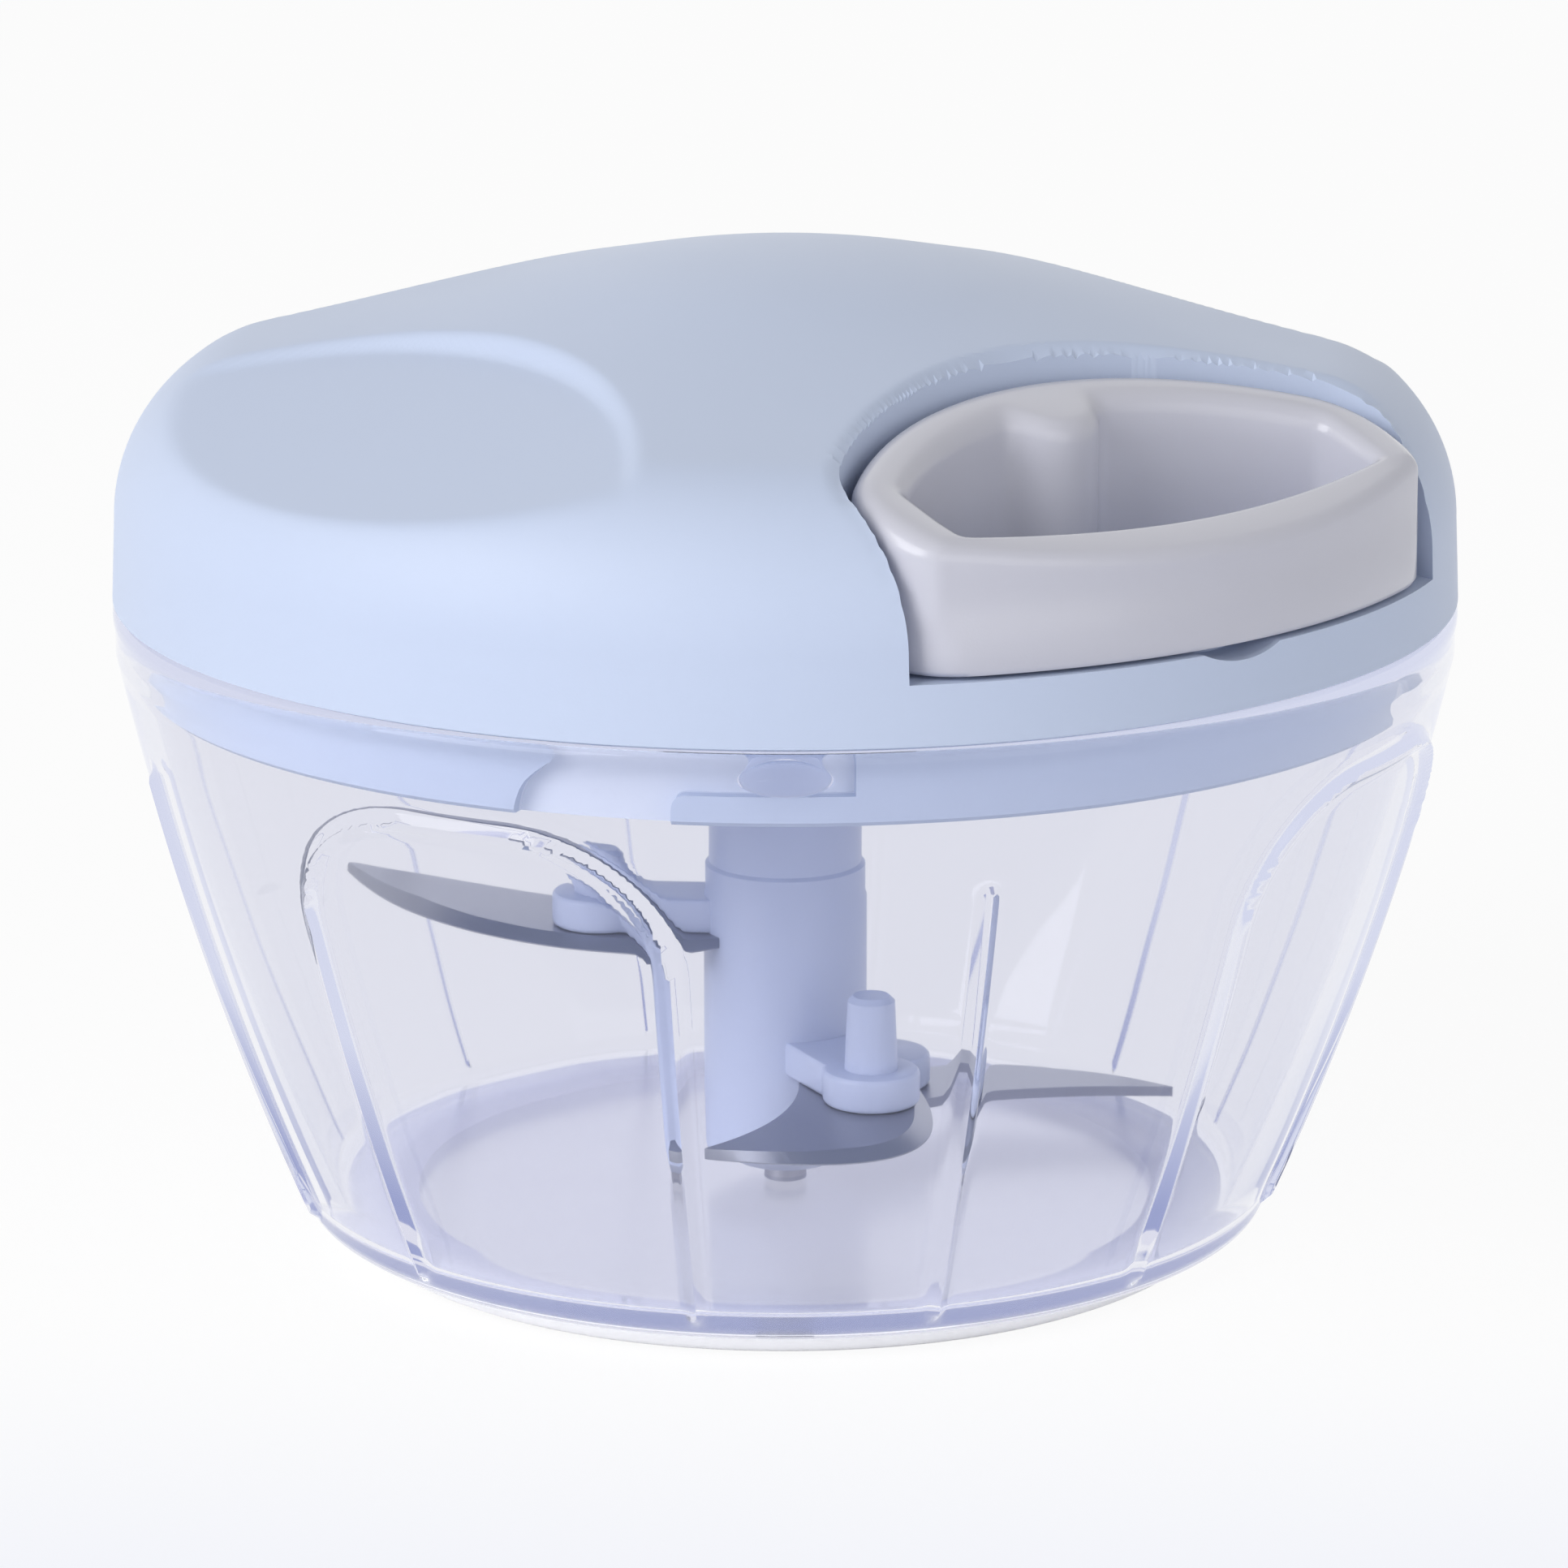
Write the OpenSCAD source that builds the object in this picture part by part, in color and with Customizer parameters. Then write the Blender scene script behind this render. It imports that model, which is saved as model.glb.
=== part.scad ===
/* [Bowl] */
// Outer radius of the straight band at the bowl's rim
bowl_rim_r = 62.3; // [58:0.1:68]
// Height of the bowl's rim above the table
bowl_rim_z = 61.5; // [58:0.5:66]
// Height of the straight band below the rim
rim_band_h = 4.5; // [3:0.5:7]
// Outer radius of the bowl where the wall meets the foot
bowl_foot_r = 45.6; // [42:0.2:50]
// How far the wall bulges past a straight cone
bowl_bulge = 1.3; // [0.6:0.1:2.5]
// Wall thickness of the bowl
bowl_wall = 2; // [1.4:0.1:2.2]
// Thickness of the bowl's floor
bowl_floor_t = 2.2; // [1.6:0.1:3]
// Width of each window outlined on the bowl's wall
window_w = 34; // [30:0.5:40]
// Radius of the windows' upper corners
window_corner = 13; // [8:0.5:14]
// Width of the raised lines round the windows
ridge_w = 1.6; // [1:0.1:2.4]
// Height of the raised lines above the wall
ridge_h = 0.5; // [0.3:0.1:0.8]
// Height of the soft ring under the bowl
grip_h = 2.5; // [1.5:0.1:4]
// Outer radius of the soft ring at the table
grip_r = 40; // [36:0.5:41]
// Width of the soft ring
grip_w = 5; // [3:0.5:8]

/* [Pivot] */
// Radius of the steel pin in the bowl's floor
pin_r = 2; // [1.5:0.1:2.5]
// Height of the pin's tip above the bowl's floor
pin_h = 16; // [12:0.5:22]
// Radius of the boss that holds the pin
pin_boss_r = 3.6; // [3:0.1:5]
// Height of that boss
pin_boss_h = 1.2; // [0.8:0.1:1.6]

/* [Lid] */
// How far the lid's lower edge stands out past the bowl's rim
lid_overhang = 0.2; // [0:0.1:1]
// Height of the lid above the bowl's rim
lid_h = 31.7; // [30.5:0.1:34]
// Wall thickness of the lid
lid_wall = 2; // [1.6:0.1:2.4]
// Slope of the lid's top, in degrees
lid_slope = 12.7; // [11.5:0.1:13.5]
// Radius at which the round crown runs out into that slope
crown_end_r = 20; // [14:0.5:26]
// Radius of the lid's rounded shoulder
shoulder_r = 15.5; // [13:0.5:17]
// Gap between the reel and the wall at the back of the handle's recess
flange_gap = 1; // [0.6:0.1:2]
// Radius of each scoop's arc
scoop_r = 44.5; // [42:0.1:48]
// Fall of a scoop's flat floor for each millimetre outwards
scoop_fall = 0.33; // [0.3:0.01:0.35]
// Depth of a scoop's step below the lid's top
scoop_step = 1.7; // [1.2:0.1:2.6]
// Number of scoops, the first one over the handle
scoop_count = 4; // [2:1:4]

/* [Handle] */
// Half the width of the handle
handle_half_w = 30.3; // [28:0.1:31]
// Gap between the handle and its recess
handle_gap = 1; // [0.7:0.1:1.4]
// Gap between the handle and the floor of its recess
handle_lift = 0.4; // [0.3:0.1:0.8]
// Height of the recess floor above the lid's lower edge
recess_floor_h = 5.4; // [4.5:0.1:6]
// Thickness of the handle's front bar at its middle
front_bar = 4.5; // [4:0.1:7]
// Thickness of the handle's back and side walls
handle_wall = 4.8; // [4:0.1:6]
// Radius of the round boss that holds the cord's knot
knot_boss_r = 5; // [4.2:0.1:5.5]

/* [Lid lock] */
// Number of lugs in the bowl
lug_count = 4; // [3:1:4]
// Length of each lug round the rim
lug_len = 8.3; // [6:0.1:9]
// Height of each lug
lug_h = 3.2; // [2.4:0.1:3.2]
// Height of the skirt that reaches into the bowl
skirt_h = 7.6; // [7.4:0.1:9]
// Wall thickness of the skirt
skirt_wall = 2.7; // [2.4:0.1:3.4]
// Gap between the skirt and the bowl
skirt_gap = 1.4; // [1.2:0.1:1.6]
// Angle that the lid turns to come off
unlock_angle = 16; // [14:1:18]

/* [Drive] */
// Radius of the cord
cord_r = 1.1; // [0.8:0.1:1.2]
// Height of the cord above the lid's lower edge
cord_h = 10.4; // [10:0.1:11]
// Radius of the reel's drum
drum_r = 17; // [15.5:0.1:18]
// Radius of the reel's flanges
flange_r = 28; // [26:0.1:29]
// Thickness of the reel's flanges
flange_t = 1.5; // [1.2:0.1:1.8]
// Space between the reel's flanges
reel_gap = 9.5; // [8.5:0.1:10]
// Radius of the reel's hub where it turns in the lower cover
hub_r = 7.5; // [7.2:0.1:8]
// Radius of the post that the reel turns on
post_r = 4; // [3.5:0.1:4.4]
// Depth of the wound cord on the drum
wound_t = 4; // [3:0.1:5]
// Thickness of the spring strip
strip_t = 0.4; // [0.3:0.05:0.5]
// Turns of the spring strip
strip_turns = 7; // [5:1:8]
// Width across the flats of the hexagonal drive
hex_af = 9; // [8:0.1:9.4]
// Length of the hexagonal drive below its flange
hex_len = 12.8; // [10:0.1:14]

/* [Blades] */
// Radius of the blade column
column_r = 7.7; // [7.4:0.1:8.4]
// Height of the lowest blade above the bowl's floor
low_blade_h = 3.3; // [3.3:0.1:4.5]
// Height of the middle blade above the bowl's floor
mid_blade_h = 10.8; // [9.5:0.1:12]
// Height of the upper blade above the bowl's floor
top_blade_h = 23.3; // [20:0.1:25]
// Distance from the axis to the lowest blade's tip
low_blade_reach = 39.8; // [32:0.1:41]
// Distance from the axis to the middle blade's tip
mid_blade_reach = 31; // [26:0.1:36]
// Distance from the axis to the upper blade's tip
top_blade_reach = 48.3; // [40:0.1:49]
// Thickness of the blades
blade_t = 1; // [0.8:0.1:1.2]
// Thickness of the arms over the blades
arm_t = 3.2; // [2.6:0.1:3.6]
// Distance from the axis to the arms' round ends
arm_reach = 17.5; // [15:0.1:19]
// Radius of the arms' round ends
arm_end_r = 4.5; // [3.8:0.1:5]
// Height of the peg on the middle arm
mid_peg_h = 7; // [4:0.1:7.4]
// Height of the peg on the upper arm
top_peg_h = 4; // [2:0.1:6]

/* [Hidden] */
$fn = 96;

// Fits and clearances
press_clear = 0.02;
run_clear = 0.05;
seat_clear = 0.1;
move_clear = 0.3;
slip_clear = 0.15;
big = 200;
over = 1;
quarter_sag = 1 - sqrt(0.5);

// Bowl heights
floor_z = grip_h + bowl_floor_t;
band_z = bowl_rim_z - rim_band_h;
foot_corner = 2.4;
floor_round = 2;
seam_gap = 0.4;
grip_inset = 0.5;
window_count = 4;
window_angle = -68;
window_gap = 4.5;
window_top = band_z - window_gap;
ridge_root = 1;
rib_angle = -23;
rib_gap = 9.4;
rib_top = band_z - rib_gap;
corner_steps = 4;
wall_steps = 10;

// Lid heights and the shoulder's centre
lid_r = bowl_rim_r + lid_overhang;
lid_z = bowl_rim_z + seam_gap;
lid_top_z = lid_z + lid_h;
wall_lean = 0.3;
crown_r = crown_end_r / sin(lid_slope);
crown_end_z = lid_top_z - crown_r * (1 - cos(lid_slope));
shoulder_x = lid_r - wall_lean - shoulder_r;
shoulder_start = shoulder_x + shoulder_r * sin(lid_slope);
shoulder_z = crown_end_z - (shoulder_start - crown_end_r) * tan(lid_slope) - shoulder_r * cos(lid_slope);

// Scoops: where they start, their arc's centre and the height of their flat on the axis
scoop_in = flange_r + flange_gap + lid_wall;
scoop_off = scoop_in + scoop_r;
scoop_z = crown_end_z - (scoop_in - crown_end_r) * tan(lid_slope) - scoop_step + scoop_fall * scoop_in;
scoop_tilt = atan(scoop_fall);

// Handle and recess
recess_half_w = handle_half_w + handle_gap;
recess_z = lid_z + recess_floor_h;
handle_z = recess_z + handle_lift;
flush = 0.2;
handle_front_r = lid_r - wall_lean - flush;
handle_top_z = scoop_z - flush;
hole_front_x = handle_front_r - front_bar;
hole_front_arc = 100;
hole_half_w = handle_half_w - handle_wall;
handle_back_x = scoop_in + handle_gap;
knot_x = handle_back_x + handle_wall;
knot_r = 2.3;
knot_boss_back = 1;
knot_pocket_r = knot_r + move_clear;
notch_w = 9;
notch_d = 1;
notch_r = (pow(notch_w / 2, 2) + pow(notch_d, 2)) / (2 * notch_d);

// Lower cover, skirt and lock
plate_t = 1.8;
plate_r = lid_r - lid_wall - flush;
plate_z = lid_z + plate_t;
skirt_r = bowl_rim_r - bowl_wall - skirt_gap;
skirt_z = lid_z - skirt_h;
groove_d = 1.6;
lug_play = 0.4;
lug_drop = 1.1;
lug_in_r = skirt_r - groove_d + lug_play;
lug_z = bowl_rim_z - lug_drop - lug_h / 2;
lug_angle = -40;
lug_half = lug_len / 2 / skirt_r * 180 / PI;
groove_head = 0.6;
groove_top = lug_z + lug_h / 2 + groove_head;
ledge_z = lug_z - lug_h / 2 - move_clear;
groove_play = 1.8;
groove_hi = lug_half + groove_play;
ledge_play = 5.5;
entry_play = 3.3;
ledge_lo = -lug_half - ledge_play;
groove_lo = -unlock_angle - lug_half - entry_play;

// Reel stack
cord_z = lid_z + cord_h;
reel_z = cord_z - reel_gap / 2 - flange_t;
reel_top = cord_z + reel_gap / 2 + flange_t;
hub_drop = 1.9;
hub_low_z = lid_z - hub_drop;
bush_t = 2;
bush_flange = 1.5;
bush_flange_t = 1;
counter_r = 6;
web_rise = 0.8;
drum_wall = 2;
pocket_rise = 4;
web_z = reel_z + web_rise;
pocket_r = drum_r - drum_wall;
pocket_z = reel_z + pocket_rise;
cap_t = 1.2;
washer_t = 0.8;
washer_r = 5.5;
post_z = web_z - move_clear;
strip_room = 1;
strip_steps = 24;
strip_h = reel_top - pocket_z - strip_room;
strip_in = post_r + move_clear + strip_t;
strip_out = pocket_r - move_clear - strip_t;
screw_r = 1.2;
screw_head_r = 2.8;
screw_head_t = 1.6;
screw_len = 9;
cover_screw_count = 4;
cover_screw_angle = 45;
cover_screw_inset = 6.2;
cover_screw_pcr = skirt_r - skirt_wall - cover_screw_inset;
cover_boss_r = 3.5;

// Cord path: tangent to the winding, then along X through the eyelet
wound_r = drum_r + wound_t;
run_r = wound_r + cord_r + move_clear;
run_end_gap = 0.6;
eyelet_play = 0.4;
eyelet_wall = 1.1;
eyelet_lip = 1;
eyelet_sunk = 0.4;
eyelet_out = 0.2;
eyelet_wall_x = scoop_in - lid_wall;
run_end_x = eyelet_wall_x - run_end_gap;
run_turn = acos(run_r / run_end_x);
eyelet_bore = cord_r + eyelet_play;
eyelet_r = eyelet_bore + eyelet_wall;
eyelet_flange_r = eyelet_r + eyelet_lip;
eyelet_seat_x = scoop_in - eyelet_sunk;
eyelet_flange_t = 0.8;

// Column and blades
column_lift = 0.4;
column_z = floor_z + pin_boss_h + column_lift;
drive_flange_t = 1.2;
drive_flange_r = 7.2;
column_top = hub_low_z - drive_flange_t - move_clear;
socket_room = 0.5;
neck_step = 0.5;
collar_h = 27.8;
collar_run = 3;
neck_r = column_r - neck_step;
collar_z = floor_z + collar_h;
neck_z = collar_z + collar_run;
low_z = floor_z + low_blade_h;
mid_z = floor_z + mid_blade_h;
top_z = floor_z + top_blade_h;
arm_w = 7;
peg_r = 2.5;
peg_draft = 0.3;
top_angle = -133;
mid_angle = -13;
low_angle = 107;

// Blade plans, as shares of the reach: the tip and the points that draw the edge and the back
top_plan = [[0.9104, -0.4138], [0.7035, 0.1241], [0.538, -0.2069]];
mid_plan = [[0.7553, -0.6553], [1.4203, 0], [0.6456, -0.2582]];
low_plan = [[0.7785, -0.6278], [0.9543, 0], [0.6027, -0.226]];
root_plan = [0.52, 0.91];
root_out = 2.3;
root_side = 0.3;
heel_side = 2.6;
grind_share = 0.95;
edge_share = 0.4;
edge_steps = 12;
back_steps = 8;
lid_blue = [0.77, 0.83, 0.92];
column_blue = [0.68, 0.73, 0.85];
handle_grey = [0.72, 0.72, 0.74];
steel = [0.62, 0.64, 0.68];
clear_tint = [0.86, 0.88, 0.96, 0.35];

// Points on the circular arc from p to q that bows out by sag on the right-hand side
function bow(p, q, sag, n) =
    let (chord = norm(q - p), r = (chord * chord / 4 + sag * sag) / (2 * sag), along = (q - p) / chord,
        side = [along[1], -along[0]], centre = (p + q) / 2 - side * (r - sag), half = asin(chord / (2 * r)))
    [for (i = [0:n]) let (a = half * (2 * i / n - 1)) centre + r * (side * cos(a) + along * sin(a))];

// Points on the quadratic curve from a to b that is drawn towards c
function curve(a, c, b, n) =
    [for (i = [0:n]) let (t = i / n) a * pow(1 - t, 2) + c * 2 * t * (1 - t) + b * pow(t, 2)];

// Everything above a plane that falls outwards along X from height z on the axis
module above(z, tilt) {
    translate([0, 0, z])
        rotate([0, tilt, 0])
            translate([-big / 2, -big / 2, 0])
                cube(big);
}

// A ring sector from angle a0 to a1
module sector(r_in, r_out, z0, z1, a0, a1) {
    rotate([0, 0, a0])
        rotate_extrude(angle = a1 - a0)
            translate([r_in, z0])
                square([r_out - r_in, z1 - z0]);
}

// The bowl's outer wall in section, moved outwards by out
function wall_line(out) =
    let (foot = [bowl_foot_r, grip_h + foot_corner], rim = [bowl_rim_r, band_z])
    [for (p = bow(foot, rim, bowl_bulge, wall_steps)) p + [out, 0]];

// Outline of the bowl's wall and floor in section
function bowl_outline() = concat(
    [[0, grip_h]],
    bow([bowl_foot_r - foot_corner, grip_h], [bowl_foot_r, grip_h + foot_corner],
        foot_corner * quarter_sag, corner_steps),
    wall_line(0),
    [[bowl_rim_r, bowl_rim_z], [bowl_rim_r - bowl_wall, bowl_rim_z]],
    bow([bowl_rim_r - bowl_wall, band_z], [bowl_foot_r - bowl_wall, floor_z + floor_round], -bowl_bulge,
        wall_steps),
    bow([bowl_foot_r - bowl_wall, floor_z + floor_round], [bowl_foot_r - bowl_wall - floor_round, floor_z],
        -floor_round * quarter_sag, corner_steps),
    [[0, floor_z]]);

// Points of a quarter circle about c that starts at angle a
function quarter(c, r, a) =
    [for (i = [0:corner_steps]) let (t = a + 90 * i / corner_steps) c + r * [cos(t), sin(t)]];

// An arched window seen from the front, with its sides and top moved inwards by inset
function window_outline(inset) =
    let (half = window_w / 2 - inset, low = grip_h - inset, side = window_w / 2 - window_corner,
        high = window_top - window_corner)
    concat(quarter([side, high], window_corner - inset, 0), quarter([-side, high], window_corner - inset, 90),
        [[-half, low], [half, low]]);

// The wall's raised skin, kept only where the flat shape that is passed in stands in front of it
module on_wall(angle) {
    line = wall_line(ridge_h);
    intersection() {
        rotate_extrude()
            polygon(concat(line, [line[wall_steps] - [ridge_root, 0], line[0] - [ridge_root, 0]]));
        rotate([90, 0, 90 + angle])
            translate([0, 0, bowl_foot_r / 2])
                linear_extrude(bowl_foot_r)
                    children();
    }
}

// The raised lines: one round each window and a rib between the windows
module ridges() {
    for (i = [0:window_count - 1]) {
        on_wall(window_angle + i * 360 / window_count)
            difference() {
                polygon(window_outline(0));
                polygon(window_outline(ridge_w));
            }
        on_wall(rib_angle + i * 360 / window_count)
            translate([-ridge_w / 2, grip_h])
                square([ridge_w, rib_top - grip_h]);
    }
}

// A rounded lug on the inside of the rim, pointing along X
module lug() {
    intersection() {
        translate([lug_in_r, 0, lug_z])
            rotate([0, 90, 0])
                linear_extrude(bowl_rim_r - bowl_wall / 2 - lug_in_r) {
                    for (side = [-1, 1])
                        translate([0, side * (lug_len - lug_h) / 2])
                            circle(d = lug_h);
                    square([lug_h, lug_len - lug_h], center = true);
                }
        cylinder(r = bowl_rim_r - bowl_wall / 2, h = bowl_rim_z);
    }
}

module bowl() {
    color(clear_tint)
        difference() {
            union() {
                rotate_extrude()
                    polygon(bowl_outline());
                ridges();
                translate([0, 0, floor_z - bowl_floor_t / 2])
                    cylinder(r = pin_boss_r, h = bowl_floor_t / 2 + pin_boss_h);
                for (i = [0:lug_count - 1])
                    rotate([0, 0, lug_angle + i * 360 / lug_count])
                        lug();
            }
            translate([0, 0, floor_z - bowl_floor_t / 2])
                cylinder(r = pin_r + press_clear, h = bowl_floor_t + pin_boss_h);
        }
}

module base_grip_ring() {
    color("white")
        rotate_extrude()
            polygon([[grip_r - grip_w, 0], [grip_r, 0], [bowl_foot_r - foot_corner - grip_inset, grip_h],
                [grip_r - grip_w, grip_h]]);
}

module pivot_pin() {
    tip = 0.6;
    low = floor_z - bowl_floor_t / 2;
    color(steel) {
        translate([0, 0, low])
            cylinder(r = pin_r, h = floor_z + pin_h - tip - low);
        translate([0, 0, floor_z + pin_h - tip])
            cylinder(r1 = pin_r, r2 = pin_r - tip, h = tip);
    }
}

// Section of the lid's dome, moved inwards by grow
function dome_outline(grow) = concat(
    [for (i = [0:6]) let (a = lid_slope * i / 6)
        [(crown_r - grow) * sin(a), lid_top_z - crown_r + (crown_r - grow) * cos(a)]],
    [for (i = [0:10]) let (a = lid_slope + (90 - lid_slope) * i / 10)
        [shoulder_x + (shoulder_r - grow) * sin(a), shoulder_z + (shoulder_r - grow) * cos(a)]],
    [[lid_r - grow, lid_z], [lid_r - grow, lid_z - grow], [0, lid_z - grow]]);

// The round plan shared by the scoops and the handle's recess
module scoop_plan(grow) {
    translate([scoop_off, 0, 0])
        cylinder(r = scoop_r + grow, h = big);
}

module recess(grow) {
    intersection() {
        scoop_plan(grow);
        translate([0, -recess_half_w - grow, recess_z - grow])
            cube([big, 2 * (recess_half_w + grow), big]);
    }
}

// The dome with its scoops and recess; a cut moved by grow leaves a wall of that thickness
module dome(grow) {
    difference() {
        rotate_extrude()
            polygon(dome_outline(grow));
        for (i = [0:scoop_count - 1])
            rotate([0, 0, i * 360 / scoop_count])
                intersection() {
                    scoop_plan(grow);
                    above(scoop_z - grow / cos(scoop_tilt), scoop_tilt);
                }
        recess(grow);
    }
}

module at_cover_screws() {
    for (i = [0:cover_screw_count - 1])
        rotate([0, 0, cover_screw_angle + i * 360 / cover_screw_count])
            translate([cover_screw_pcr, 0, 0])
                children();
}

module top_cover() {
    color(lid_blue)
        difference() {
            union() {
                difference() {
                    dome(0);
                    dome(lid_wall);
                }
                intersection() {
                    dome(0);
                    union() {
                        translate([0, 0, post_z])
                            cylinder(r = post_r, h = big);
                        at_cover_screws()
                            translate([0, 0, plate_z])
                                cylinder(r = cover_boss_r, h = big);
                    }
                }
            }
            translate([0, 0, post_z - over])
                cylinder(r = screw_r + press_clear, h = screw_len + over);
            at_cover_screws()
                translate([0, 0, plate_z - over])
                    cylinder(r = screw_r + press_clear, h = screw_len);
            translate([eyelet_wall_x - over, 0, cord_z])
                rotate([0, 90, 0])
                    cylinder(r = eyelet_r + press_clear, h = lid_wall + 2 * over);
            translate([eyelet_seat_x, 0, cord_z])
                rotate([0, 90, 0])
                    cylinder(r = eyelet_flange_r + seat_clear, h = lid_wall);
            translate([lid_r - 2 * lid_wall, 0, recess_z - notch_d + notch_r])
                rotate([0, 90, 0])
                    cylinder(r = notch_r, h = 3 * lid_wall);
        }
}

module lower_cover() {
    color(lid_blue)
        difference() {
            union() {
                translate([0, 0, lid_z])
                    cylinder(r = plate_r, h = plate_t);
                translate([0, 0, skirt_z])
                    cylinder(r = skirt_r, h = skirt_h + plate_t / 2);
            }
            translate([0, 0, skirt_z - over])
                cylinder(r = skirt_r - skirt_wall, h = skirt_h + over);
            cylinder(r = hub_r + bush_t, h = big);
            at_cover_screws()
                cylinder(r = screw_r + move_clear, h = big);
            for (i = [0:lug_count - 1])
                rotate([0, 0, lug_angle + i * 360 / lug_count]) {
                    sector(skirt_r - groove_d, skirt_r + over, ledge_z, groove_top, groove_lo, groove_hi);
                    sector(skirt_r - groove_d, skirt_r + over, skirt_z - over, groove_top, groove_lo, ledge_lo);
                }
        }
}

// A screw with its head below z = 0 and its shank pointing up
module screw(len) {
    translate([0, 0, -screw_head_t])
        cylinder(r = screw_head_r, h = screw_head_t);
    cylinder(r = screw_r, h = len);
}

module cover_screws() {
    color(steel)
        at_cover_screws()
            translate([0, 0, lid_z])
                screw(screw_len);
}

module hub_bush() {
    inner = hub_r + run_clear;
    outer = hub_r + bush_t - press_clear;
    color("ivory")
        rotate_extrude()
            polygon([[inner, lid_z], [outer, lid_z], [outer, plate_z], [outer + bush_flange, plate_z],
                [outer + bush_flange, plate_z + bush_flange_t], [inner, plate_z + bush_flange_t]]);
}

module cord_reel() {
    bore = post_r + run_clear;
    color("ivory")
        rotate_extrude()
            polygon([[counter_r, hub_low_z], [hub_r, hub_low_z], [hub_r, reel_z], [flange_r, reel_z],
                [flange_r, reel_z + flange_t], [drum_r, reel_z + flange_t], [drum_r, reel_top - flange_t],
                [flange_r, reel_top - flange_t], [flange_r, reel_top], [pocket_r, reel_top],
                [pocket_r, pocket_z], [bore, pocket_z], [bore, web_z], [counter_r, web_z]]);
}

module mainspring() {
    steps = strip_steps * strip_turns;
    pitch = (strip_out - strip_in) / steps;
    turn = 360 / strip_steps;
    edge = function (out) [for (i = [0:steps])
        (strip_in + pitch * i + out) * [cos(turn * i), sin(turn * i)]];
    outer = edge(strip_t);
    inner = edge(0);
    color(steel)
        translate([0, 0, pocket_z])
            linear_extrude(strip_h)
                polygon(concat(outer, [for (i = [steps:-1:0]) inner[i]]));
}

module spring_cap() {
    color("ivory")
        translate([0, 0, reel_top])
            difference() {
                cylinder(r = drum_r, h = cap_t);
                translate([0, 0, -over])
                    cylinder(r = post_r + move_clear, h = cap_t + 2 * over);
            }
}

module reel_washer() {
    color(steel)
        translate([0, 0, post_z - washer_t])
            difference() {
                cylinder(r = washer_r, h = washer_t);
                translate([0, 0, -over])
                    cylinder(r = screw_r + seat_clear, h = washer_t + 2 * over);
            }
}

module reel_screw() {
    color(steel)
        translate([0, 0, post_z - washer_t])
            screw(screw_len);
}

module cord_winding() {
    color("white")
        translate([0, 0, reel_z + flange_t + seat_clear])
            difference() {
                cylinder(r = wound_r, h = reel_gap - 2 * seat_clear);
                translate([0, 0, -over])
                    cylinder(r = drum_r + seat_clear, h = reel_gap + 2 * over);
            }
}

module cord_run() {
    color("white")
        intersection() {
            translate([run_r * cos(run_turn), -run_r * sin(run_turn), cord_z])
                rotate([-90, 0, -run_turn])
                    cylinder(r = cord_r, h = run_end_x * sin(run_turn) + cord_r);
            translate([0, -big / 2, 0])
                cube([run_end_x, big, big]);
        }
}

module cord_eyelet() {
    color("silver")
        translate([eyelet_wall_x - eyelet_out, 0, cord_z])
            rotate([0, 90, 0])
                difference() {
                    union() {
                        cylinder(r = eyelet_r, h = eyelet_seat_x - eyelet_wall_x + 2 * eyelet_out);
                        translate([0, 0, eyelet_seat_x - eyelet_wall_x + eyelet_out])
                            cylinder(r = eyelet_flange_r, h = eyelet_flange_t);
                    }
                    translate([0, 0, -over])
                        cylinder(r = eyelet_bore, h = 3 * lid_wall);
                }
}

module cord_lead() {
    start = run_end_x + move_clear;
    color("white")
        translate([start, 0, cord_z])
            rotate([0, 90, 0])
                cylinder(r = cord_r, h = knot_x - knot_r - start + seat_clear / 2);
}

module cord_knot() {
    color("white")
        difference() {
            translate([knot_x, 0, cord_z])
                sphere(r = knot_r);
            translate([knot_x - knot_r - over, 0, cord_z])
                rotate([0, 90, 0])
                    cylinder(r = cord_r, h = over + seat_clear);
        }
}

// Plan of the handle's outside
module handle_plan() {
    intersection() {
        translate([scoop_off, 0])
            circle(r = scoop_r - handle_gap);
        translate([0, -handle_half_w])
            square([big, 2 * handle_half_w]);
        circle(r = handle_front_r);
    }
}

module pull_handle() {
    color(handle_grey)
        difference() {
            intersection() {
                translate([0, 0, handle_z])
                    linear_extrude(big)
                        handle_plan();
                difference() {
                    rotate_extrude()
                        polygon(dome_outline(flush));
                    above(handle_top_z, scoop_tilt);
                }
            }
            difference() {
                translate([0, 0, handle_z - over])
                    linear_extrude(big)
                        intersection() {
                            translate([scoop_off, 0])
                                circle(r = scoop_r - handle_gap - handle_wall);
                            translate([0, -hole_half_w])
                                square([big, 2 * hole_half_w]);
                            translate([hole_front_x - hole_front_arc, 0])
                                circle(r = hole_front_arc);
                        }
                translate([knot_x - knot_boss_back, 0, 0])
                    cylinder(r = knot_boss_r, h = big);
            }
            translate([knot_x, 0, handle_z - over])
                cylinder(r = knot_pocket_r, h = cord_z - handle_z + over + knot_pocket_r);
            translate([handle_back_x - over, 0, cord_z])
                rotate([0, 90, 0])
                    cylinder(r = cord_r + move_clear, h = knot_x - handle_back_x + over);
        }
}

module hexagon(af, h) {
    cylinder(d = af / cos(30), h = h, $fn = 6);
}

module drive_hub() {
    spigot = 3.5;
    color("ivory") {
        translate([0, 0, hub_low_z - drive_flange_t - hex_len])
            hexagon(hex_af, hex_len);
        translate([0, 0, hub_low_z - drive_flange_t])
            cylinder(r = drive_flange_r, h = drive_flange_t);
        translate([0, 0, hub_low_z])
            cylinder(r = counter_r - run_clear, h = spigot);
    }
}

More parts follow.
